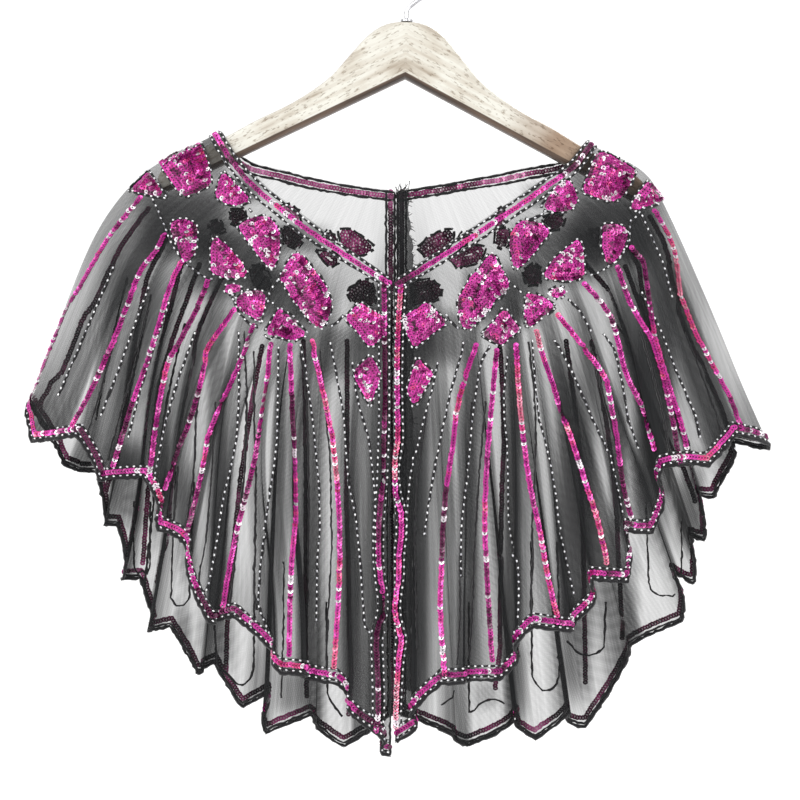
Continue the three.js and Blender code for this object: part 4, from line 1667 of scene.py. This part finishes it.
@dataclass
class SeamAllowance:
    """The raw edges of the back seam, which lie dark and frayed inside the right half."""

    drape: Drape
    finish: bpy.types.Material
    thread: bpy.types.Material
    width: float = 16.0
    top_width: float = 10.0
    widest_level: float = 0.2
    raggedness: float = 0.8
    inwards: float = 2.2
    rows: int = 120
    low_level: float = 0.95
    top_level: float = 0.004
    shares: tuple[float, ...] = (0.02, 0.3, 0.6, 0.85, 1.0)
    thicknesses: tuple[float, ...] = (5.5, 5.0, 4.4, 4.6, 5.5)
    cover_level: float = 0.6
    fray_count: int = 170
    fray_way: tuple[float, float, float] = (1.0, -0.15, -0.3)
    fray_scatter: float = 0.5
    fray_lengths: tuple[float, float] = (1.5, 4.0)
    fray_radius: float = 0.28
    tuft_count: int = 16
    tuft_way: tuple[float, float, float] = (0.0, -0.1, 1.0)
    tuft_scatter: float = 0.22
    tuft_lengths: tuple[float, float] = (4.0, 8.5)
    tuft_radius: float = 0.34
    fibre_bend: float = 0.22
    fibre_roughness: float = 0.1
    seed: int = 21

    def edge(self, v: np.ndarray, distance: np.ndarray) -> np.ndarray:
        """Points inside the right half, near the back seam.

        Args:
            v: Their levels.
            distance: How far each is from the seam, in millimetres.

        Returns:
            The points, in millimetres.
        """
        drape = self.drape
        found = []
        for level, away in zip(v, distance):
            c = drape.column_at(np.array([level]), away, True)
            spot = np.array([level])
            point = drape.sample(drape.points, c, spot)[0]
            found.append(point - unit(drape.sample(drape.normals, c, spot))[0] * self.inwards)
        return np.array(found)

    def build(self) -> bpy.types.Object:
        """Makes the strip of net and its loose fibres.

        Returns:
            The strip, which replaces its solid.
        """
        random = np.random.default_rng(self.seed)
        v = np.linspace(self.top_level, self.low_level, self.rows)
        ragged = random.normal(0, self.raggedness, self.rows)
        widths = np.interp(v, (0, self.widest_level), (self.top_width, self.width))
        grid = np.stack([self.edge(v, share * widths + share ** 4 * ragged)
                         for share in self.shares])
        run = arc_length(grid, axis=1)
        across = np.broadcast_to(np.array(self.shares)[:, None] * self.width, run.shape)
        place = np.stack([across, run], axis=-1) * MM
        thick = np.broadcast_to(np.array(self.thicknesses)[:, None], run.shape)
        values = {"gather": thick, "level": np.full(run.shape, self.cover_level)}
        piece = cloth("seam_allowance_net", grid, values, {"Cloth": place, "Weave": place}, False)
        dress(piece, self.finish)
        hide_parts("back_seam_allowance")
        dress(self.fibres(grid, random), self.thread)
        return piece

    def fibres(self, grid: np.ndarray, random: np.random.Generator) -> bpy.types.Object:
        """Makes loose ends along the strip's free edge, and a tuft of them at the neck.

        Args:
            grid: The strip's points.
            random: What the fibres are drawn with.

        Returns:
            The fibres, as one mesh.
        """
        lines = []
        for row in random.integers(0, self.rows, self.fray_count):
            root = grid[-1, row]
            way = unit(np.array(self.fray_way) + random.normal(0, self.fray_scatter, 3))
            line = self.fibre(root, way, random.uniform(*self.fray_lengths), random)
            lines.append((line, self.fray_radius))
        for _ in range(self.tuft_count):
            root = grid[random.integers(0, 4), 0] + (random.uniform(-1.0, 2.0), 0, -1)
            way = unit(np.array(self.tuft_way) + random.normal(0, self.tuft_scatter, 3))
            line = self.fibre(root, way, random.uniform(*self.tuft_lengths), random)
            lines.append((line, self.tuft_radius))
        return tubes("seam_allowance_fibres", lines, self.fibre_roughness)

    def fibre(self, root: np.ndarray, way: np.ndarray, length: float,
              random: np.random.Generator) -> np.ndarray:
        """The line of a short bent fibre.

        Args:
            root: Where it starts.
            way: Its direction there.
            length: Its length, in millimetres.
            random: What its bend is drawn with.

        Returns:
            Its points.
        """
        bend = random.normal(0, self.fibre_bend, 3)
        steps = np.linspace(0, 1, 4)[:, None]
        return root + way * length * steps + bend * length * steps ** 2


# A length in pixels that no facet has, one that counts as none, and the shortest side to sew
FAR = 1e3
NEAR = 1e-6
SHORTEST_SIDE = 1.0


def inset_sides(outline: np.ndarray, inset: float) -> list[tuple[np.ndarray, np.ndarray]]:
    """The sides of a convex outline moved inwards.

    Args:
        outline: The outline's corners, in order.
        inset: How far inwards the sides move.

    Returns:
        The two ends of each side that is left.
    """
    ends = np.roll(outline, -1, axis=0)
    ways = unit(ends - outline)
    inward = np.column_stack([-ways[:, 1], ways[:, 0]])
    middle = outline.mean(axis=0)
    inward *= np.sign(np.sum((middle - outline) * inward, axis=1))[:, None]
    sides = []
    for start, way in zip(outline + inward * inset, ways):
        low, high = -FAR, FAR
        for corner, other in zip(outline, inward):
            rate = float(way @ other)
            room = float((start - corner) @ other) - inset
            if abs(rate) < NEAR:
                if room < -NEAR:
                    low, high = 1.0, 0.0
                continue
            cut = -room / rate
            if rate > 0:
                low = max(low, cut)
            else:
                high = min(high, cut)
        if high - low > SHORTEST_SIDE:
            sides.append((start + way * low, start + way * high))
    return sides


@dataclass
class Embroidery:
    """All that is sewn to one half: sequins, beads and cords.

    The charted lines and facets come first, then which of them the back has too, then the
    distances, sizes and tones, in millimetres. glints is the share of sequins painted white as
    glints where a row shines, and elsewhere.
    """

    drape: Drape
    projector: Projector
    finishes: dict[Trim, bpy.types.Material]
    rows: Sequence[list[Mark]]
    bead_lines: Sequence[list[Mark]]
    cords: Sequence[list[Mark]]
    facets: Sequence[list[Mark]]
    edge_row: list[Mark]
    back_rows: Sequence[list[Mark]]
    back_cords: Sequence[list[Mark]]
    back_facets: Sequence[list[Mark]]
    repeated_rows: tuple[int, ...] = ()
    repeated_beads: tuple[int, ...] = ()
    rose_rows: tuple[int, ...] = ()
    edge_hue: Hue = Hue.FUCHSIA
    neck_bands: Bands = ((1.8, Trim.BEADS), (6.2, Trim.SEQUINS), (10.6, Trim.BEADS))
    hem_bands: Bands = ((4.0, Trim.BEADS), (8.7, Trim.SEQUINS))
    front_hem_beads: float = 13.4
    hem_braid: float = 1.2
    front_cord: float = 1.0
    back_bands: Bands = ((1.2, Trim.BEADS), (5.0, Trim.SEQUINS), (8.8, Trim.BEADS))
    facet_insets: tuple[float, ...] = (0.0, 3.4, 6.8, 10.2, 13.6, 17.0, 20.4)
    edge_beads_apart: float = 5.2
    sequin_radius: float = 2.5
    sequin_pitch: float = 2.6
    sequin_cup: float = 0.35
    sequin_lift: float = 1.5
    sequin_shift: float = 0.2
    sequin_tilt: float = math.radians(20)
    tilt_scatter: float = math.radians(6)
    roll_scatter: float = math.radians(9)
    swings: tuple[float, float] = (31, 12)
    swing: float = 0.12
    tone_scatter: float = 0.06
    tone_range: tuple[float, float] = (0.2, 0.84)
    shade_every: float = 37
    shade_above: float = 0.6
    painted_shade: float = 0.3
    glints_every: float = 17
    glints_above: float = 0.5
    glints: tuple[float, float] = (0.22, 0.02)
    bead_pitch: float = 6.0
    bead_length: float = 2.6
    bead_width: float = 2.0
    bead_lift: float = 1.5
    bead_scatter: float = math.radians(14)
    bead_tones: tuple[float, float] = (0.6, 0.25)
    braid_radius: float = 1.2
    cord_radius: float = 1.05
    edge_radius: float = 1.7
    braid_pitch: float = 3.2
    braid_lift: float = 0.6
    band_steps: int = 40
    edge_steps: int = 60
    seed: int = 5

    def __post_init__(self) -> None:
        """Starts the lists of lines."""
        self.random = np.random.default_rng(self.seed + self.drape.side)
        self.sequinned: list[tuple[np.ndarray, Hue]] = []
        self.beaded: list[np.ndarray] = []
        self.braids: list[tuple[np.ndarray, float]] = []

    def line(self, path: np.ndarray, trim: Trim, hue: Hue = Hue.FUCHSIA) -> None:
        """Sews one line.

        Args:
            path: Rows of c and v.
            trim: What is sewn along it.
            hue: The colour of its sequins.
        """
        if trim is Trim.SEQUINS:
            self.sequinned.append((path, hue))
        elif trim is Trim.BEADS:
            self.beaded.append(path)
            self.braids.append((path, self.braid_radius))
        else:
            self.braids.append((path, self.cord_radius))

    def sew(self, line: Sequence[Mark], trim: Trim, hue: Hue = Hue.FUCHSIA,
            layer: Layer = Layer.FRONT, repeated: bool = False) -> None:
        """Sews a line of marks on one layer.

        Args:
            line: The marks.
            trim: What is sewn along them.
            hue: The colour of its sequins.
            layer: The front or the back.
            repeated: Whether the back has the same line.
        """
        for path in self.projector.trace(self.drape, line, layer):
            self.line(path, trim, hue)
            if repeated:
                self.line(self.drape.behind(path), trim, hue)

    def chart(self) -> None:
        """Sews the charted lines on the front and on the back."""
        for number, row in enumerate(self.rows):
            hue = Hue.ROSE if number in self.rose_rows else Hue.FUCHSIA
            self.sew(row, Trim.SEQUINS, hue, repeated=number in self.repeated_rows)
        for number, line in enumerate(self.bead_lines):
            self.sew(line, Trim.BEADS, repeated=number in self.repeated_beads)
        for cord in self.cords:
            self.sew(cord, Trim.CORD)
        for row in self.back_rows:
            self.sew(row, Trim.SEQUINS, layer=Layer.BACK)
        for cord in self.back_cords:
            self.sew(cord, Trim.CORD, layer=Layer.BACK)

    def fill(self, facets: Sequence[list[Mark]], layer: Layer) -> None:
        """Fills facets with rows of sequins, one inside the other, within beads on a cord.

        Args:
            facets: Their outlines.
            layer: The layer that they are on.
        """
        for facet in facets:
            for number, inset in enumerate(self.facet_insets):
                for start, end in inset_sides(np.array(facet, dtype=float), inset):
                    trim = Trim.BEADS if number == 0 else Trim.SEQUINS
                    self.sew(marks(tuple(start), tuple(end)), trim, layer=layer)

    def border(self) -> None:
        """Sews the bands along the neck, the front edge, the back edge and the hem."""
        drape = self.drape
        c = np.linspace(0, drape.end, self.band_steps * drape.end)
        for distance, trim in self.neck_bands:
            self.line(np.column_stack([c, drape.level_at(c, from_neck=distance)]), trim)
        for distance, trim in self.hem_bands:
            self.line(np.column_stack([c, drape.level_at(c, from_hem=distance)]), trim)
        front = c[c < drape.end / 2]
        level = drape.level_at(front, from_hem=self.front_hem_beads)
        self.line(np.column_stack([front, level]), Trim.BEADS)
        braid = np.column_stack([c, drape.level_at(c, from_hem=self.hem_braid)])
        self.braids.append((braid, self.edge_radius))
        v = np.linspace(0, 1, self.edge_steps)
        self.line(np.column_stack([drape.column_at(v, self.front_cord, False), v]), Trim.CORD)
        self.sew(self.edge_row, Trim.SEQUINS, self.edge_hue)
        for aside in (-self.edge_beads_apart, self.edge_beads_apart):
            self.sew([Mark(mark.px + aside, mark.py) for mark in self.edge_row], Trim.BEADS)
        for distance, trim in self.back_bands:
            self.line(np.column_stack([drape.column_at(v, distance, True), v]), trim, Hue.MAROON)

    def build(self) -> list[bpy.types.Object]:
        """Sews all the half's lines.

        Returns:
            The sequins, the beads and the cords, a piece each.
        """
        self.chart()
        self.fill(self.facets, Layer.FRONT)
        self.fill(self.back_facets, Layer.BACK)
        self.border()
        name = self.drape.name
        return [
            dress(self.sequins("sequins_" + name), self.finishes[Trim.SEQUINS]),
            dress(self.beads("beads_" + name), self.finishes[Trim.BEADS]),
            dress(self.cording("cords_" + name), self.finishes[Trim.CORD]),
        ]

    def sequins(self, name: str) -> bpy.types.Object:
        """Sets down the rows of sequins, each one tilted onto the next.

        Args:
            name: The piece's name.

        Returns:
            The piece.
        """
        stamp = Stamp.sequin(self.sequin_radius, self.sequin_cup)
        origins, axes, tones = [], [], []
        for path, hue in self.sequinned:
            run = Run.along(self.drape, path, self.sequin_pitch)
            count = len(run.points)
            tilt = self.sequin_tilt + self.random.normal(0, self.tilt_scatter, count)
            roll = self.random.normal(0, self.roll_scatter, count)
            side = np.cross(run.normals, run.ways)
            tipped = run.ways * np.cos(tilt)[:, None] + run.normals * np.sin(tilt)[:, None]
            side = unit(side + run.normals * np.tan(roll)[:, None])
            up = unit(np.cross(tipped, side))
            side = np.cross(up, tipped)
            aside = side * self.random.normal(0, self.sequin_shift, count)[:, None]
            origins.append(run.points + run.normals * self.sequin_lift + aside)
            axes.append(np.stack([tipped, side, up], axis=1))
            tones.append(self.tone(run, hue))
        tone = np.concatenate(tones)
        return stamp.set_down(name, np.vstack(origins), np.vstack(axes), tone, False)

    def tone(self, run: Run, hue: Hue) -> np.ndarray:
        """Draws each sequin's tone: its row's hue, with painted shade in stretches and painted glints.

        Args:
            run: The row's places.
            hue: The row's hue.

        Returns:
            A tone for each place.
        """
        count = len(run.points)
        place = arc_length(run.points)
        phase = self.random.uniform(0, 2 * math.pi, 3)
        long, short = self.swings
        swing = np.sin(place / long + phase[0]) + 0.5 * np.sin(place / short + phase[1])
        # Painted shade: stretches of the row made darker, as if turned away from the light.
        painted_shade = np.sin(place / self.shade_every + phase[1]) > self.shade_above
        scatter = self.random.normal(0, self.tone_scatter, count)
        tone = hue.value + self.swing * swing + scatter - self.painted_shade * painted_shade
        # Painted glints: white sequins, clustered where the row shines.
        shine = np.sin(place / self.glints_every + phase[2]) > self.glints_above
        glint = self.random.random(count) < np.where(shine, *self.glints)
        return np.where(glint, 1.0, np.clip(tone, *self.tone_range))

    def beads(self, name: str) -> bpy.types.Object:
        """Sets down the rows of single beads, on their braids.

        Args:
            name: The piece's name.

        Returns:
            The piece.
        """
        stamp = Stamp.bead(self.bead_length, self.bead_width)
        runs = [Run.along(self.drape, path, self.bead_pitch) for path in self.beaded]
        points = np.vstack([run.points + run.normals * self.bead_lift for run in runs])
        ways = np.vstack([run.ways for run in runs])
        normals = np.vstack([run.normals for run in runs])
        turn = self.random.normal(0, self.bead_scatter, len(points))[:, None]
        side = np.cross(normals, ways)
        ahead = ways * np.cos(turn) + side * np.sin(turn)
        axes = np.stack([ahead, np.cross(normals, ahead), normals], axis=1)
        tones = np.clip(self.random.normal(*self.bead_tones, len(points)), 0, 1)
        return stamp.set_down(name, points, axes, tones, True)

    def cording(self, name: str) -> bpy.types.Object:
        """Lays the braids under the beads and the thin cords.

        Args:
            name: The piece's name.

        Returns:
            The piece.
        """
        lines = []
        for path, radius in self.braids:
            run = Run.along(self.drape, path, self.braid_pitch)
            lines.append((run.points + run.normals * radius * self.braid_lift, radius))
        return tubes(name, lines)


class Lamp(NamedTuple):
    """A square area light, in metres and watts."""

    name: str
    place: tuple[float, float, float]
    size: float
    power: float


@dataclass
class Studio:
    """The camera, the soft lights and the plain pale backdrop."""

    backdrop_y: float = 2.4
    backdrop_top: float = 2.0
    backdrop_size: float = 5.0
    sweep: tuple[tuple[float, float, float], ...] = (
        (0, 0, -1.6),
        (0, -0.1, -1.2),
        (0, -0.3, -0.35),
        (0, -0.6, -0.1),
        (0, -2.8, 0),
    )
    glow: float = 0.3
    daylight: float = 0.55
    net_layers: int = 32
    lamps: tuple[Lamp, ...] = (
        Lamp("key", (-1.6, -2.2, 1.2), 1.8, 50),
        Lamp("fill", (1.9, -2.0, 0.2), 2.0, 26),
        Lamp("back", (0.9, 1.7, 1.5), 1.2, 22),
    )

    def camera(self) -> None:
        """Puts the camera where the photograph was taken from."""
        lens = bpy.data.cameras.new("camera")
        lens.sensor_width = SENSOR / MM
        width = FRAME_PIXELS * PIXEL
        lens.lens = SENSOR / MM * (CAMERA_DISTANCE + PICTURE_DEPTH) / width
        camera = put("camera", lens)
        camera.location = (CAMERA_X, -CAMERA_DISTANCE, CAMERA_Z)
        camera.rotation_euler = (math.pi / 2, 0, 0)
        bpy.context.scene.camera = camera

    def light(self, lamp: Lamp) -> None:
        """Adds a soft light that faces the middle of the object.

        Args:
            lamp: What it is like and where it stands.
        """
        light = bpy.data.lights.new(lamp.name, "AREA")
        light.size = lamp.size
        light.energy = lamp.power
        made = put(lamp.name, light)
        made.location = lamp.place
        aim = Vector((0, 0, CAMERA_Z)) - Vector(lamp.place)
        made.rotation_euler = aim.to_track_quat("-Z", "Y").to_euler()

    def backdrop(self) -> None:
        """Adds a white sweep behind and below the object."""
        shape = bmesh.new()
        half = self.backdrop_size
        start = [shape.verts.new((x, self.backdrop_y, self.backdrop_top)) for x in (-half, half)]
        edge = shape.edges.new(start)
        for step in self.sweep:
            grown = bmesh.ops.extrude_edge_only(shape, edges=[edge])["geom"]
            edge = next(item for item in grown if isinstance(item, bmesh.types.BMEdge))
            bmesh.ops.translate(shape, vec=step, verts=list(edge.verts))
        mesh = bpy.data.meshes.new("backdrop")
        shape.to_mesh(mesh)
        shape.free()
        graph = Graph("white_paper")
        graph.set(Base_Color=(0.8, 0.8, 0.8, 1), Roughness=0.9, Emission_Color=(1, 1, 1, 1),
                  Emission_Strength=self.glow)
        mesh.materials.append(graph.material)
        put("backdrop", mesh)

    def build(self) -> None:
        """Builds all of it."""
        self.camera()
        self.backdrop()
        for lamp in self.lamps:
            self.light(lamp)
        world = bpy.data.worlds.new("studio")
        world.use_nodes = True
        background = world.node_tree.nodes["Background"]
        background.inputs["Color"].default_value = (1, 1, 1, 1)
        background.inputs["Strength"].default_value = self.daylight
        scene = bpy.context.scene
        scene.world = world
        scene.view_settings.view_transform = "Standard"
        scene.cycles.transparent_max_bounces = self.net_layers


def finish_nodes(finishes: dict[str, bpy.types.Material]) -> None:
    """Gives the nodes that stay their finishes.

    Args:
        finishes: Each node's finish.
    """
    for name, material in finishes.items():
        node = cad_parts[name]
        for slot in node.material_slots:
            slot.material = material
        LOG.info("%s: %s", name, material.name)


def main() -> None:
    """Builds the studio, then the capelet's pieces over the solids."""
    logging.basicConfig(level=logging.INFO, format="%(name)s %(message)s")
    Studio().build()
    left = Drape("half_left", side=-1, side_at=11, lean=0.6, neck=LEFT_NECK,
                 sections=LEFT_SECTIONS, folds=LEFT_FOLDS)
    right = Drape("half_right", side=1, side_at=12, lean=0.1, neck=RIGHT_NECK,
                  sections=RIGHT_SECTIONS, folds=RIGHT_FOLDS)
    net = NetFinish().build()
    thread = ThreadFinish().build()
    finishes = {
        Trim.SEQUINS: SequinFinish().build(),
        Trim.BEADS: BeadFinish().build(),
        Trim.CORD: thread,
    }
    projector = Projector([left, right])
    for drape in (left, right):
        NetSheet(drape, net, flat_width=1.0, flat_length=0.48, flat_area=0.24).build()
    SeamAllowance(right, net, thread).build()
    Embroidery(left, projector, finishes, LEFT_SEQUIN_LINES, LEFT_BEAD_LINES, LEFT_CORDS, LEFT_FACETS,
               LEFT_EDGE_ROW, LEFT_BACK_ROWS, LEFT_BACK_CORDS, LEFT_BACK_FACETS,
               repeated_rows=(0, 1, 2, 3, 4), repeated_beads=(5, 6, 7, 8),
               rose_rows=LEFT_ROSE, edge_hue=Hue.MAROON).build()
    Embroidery(right, projector, finishes, RIGHT_SEQUIN_LINES, RIGHT_BEAD_LINES, RIGHT_CORDS,
               RIGHT_FACETS, RIGHT_EDGE_ROW, RIGHT_BACK_ROWS, RIGHT_BACK_CORDS, RIGHT_BACK_FACETS,
               repeated_rows=(5, 6, 7, 8), repeated_beads=(6, 7),
               rose_rows=RIGHT_ROSE, edge_hue=Hue.ROSE).build()
    steel = SteelFinish().build()
    finish_nodes({
        "neck_thread_bar": thread,
        "hanger_wood": WoodFinish().build(),
        "hanger_hook": steel,
        "hook_collar": steel,
    })


if __name__ == "__main__":
    main()
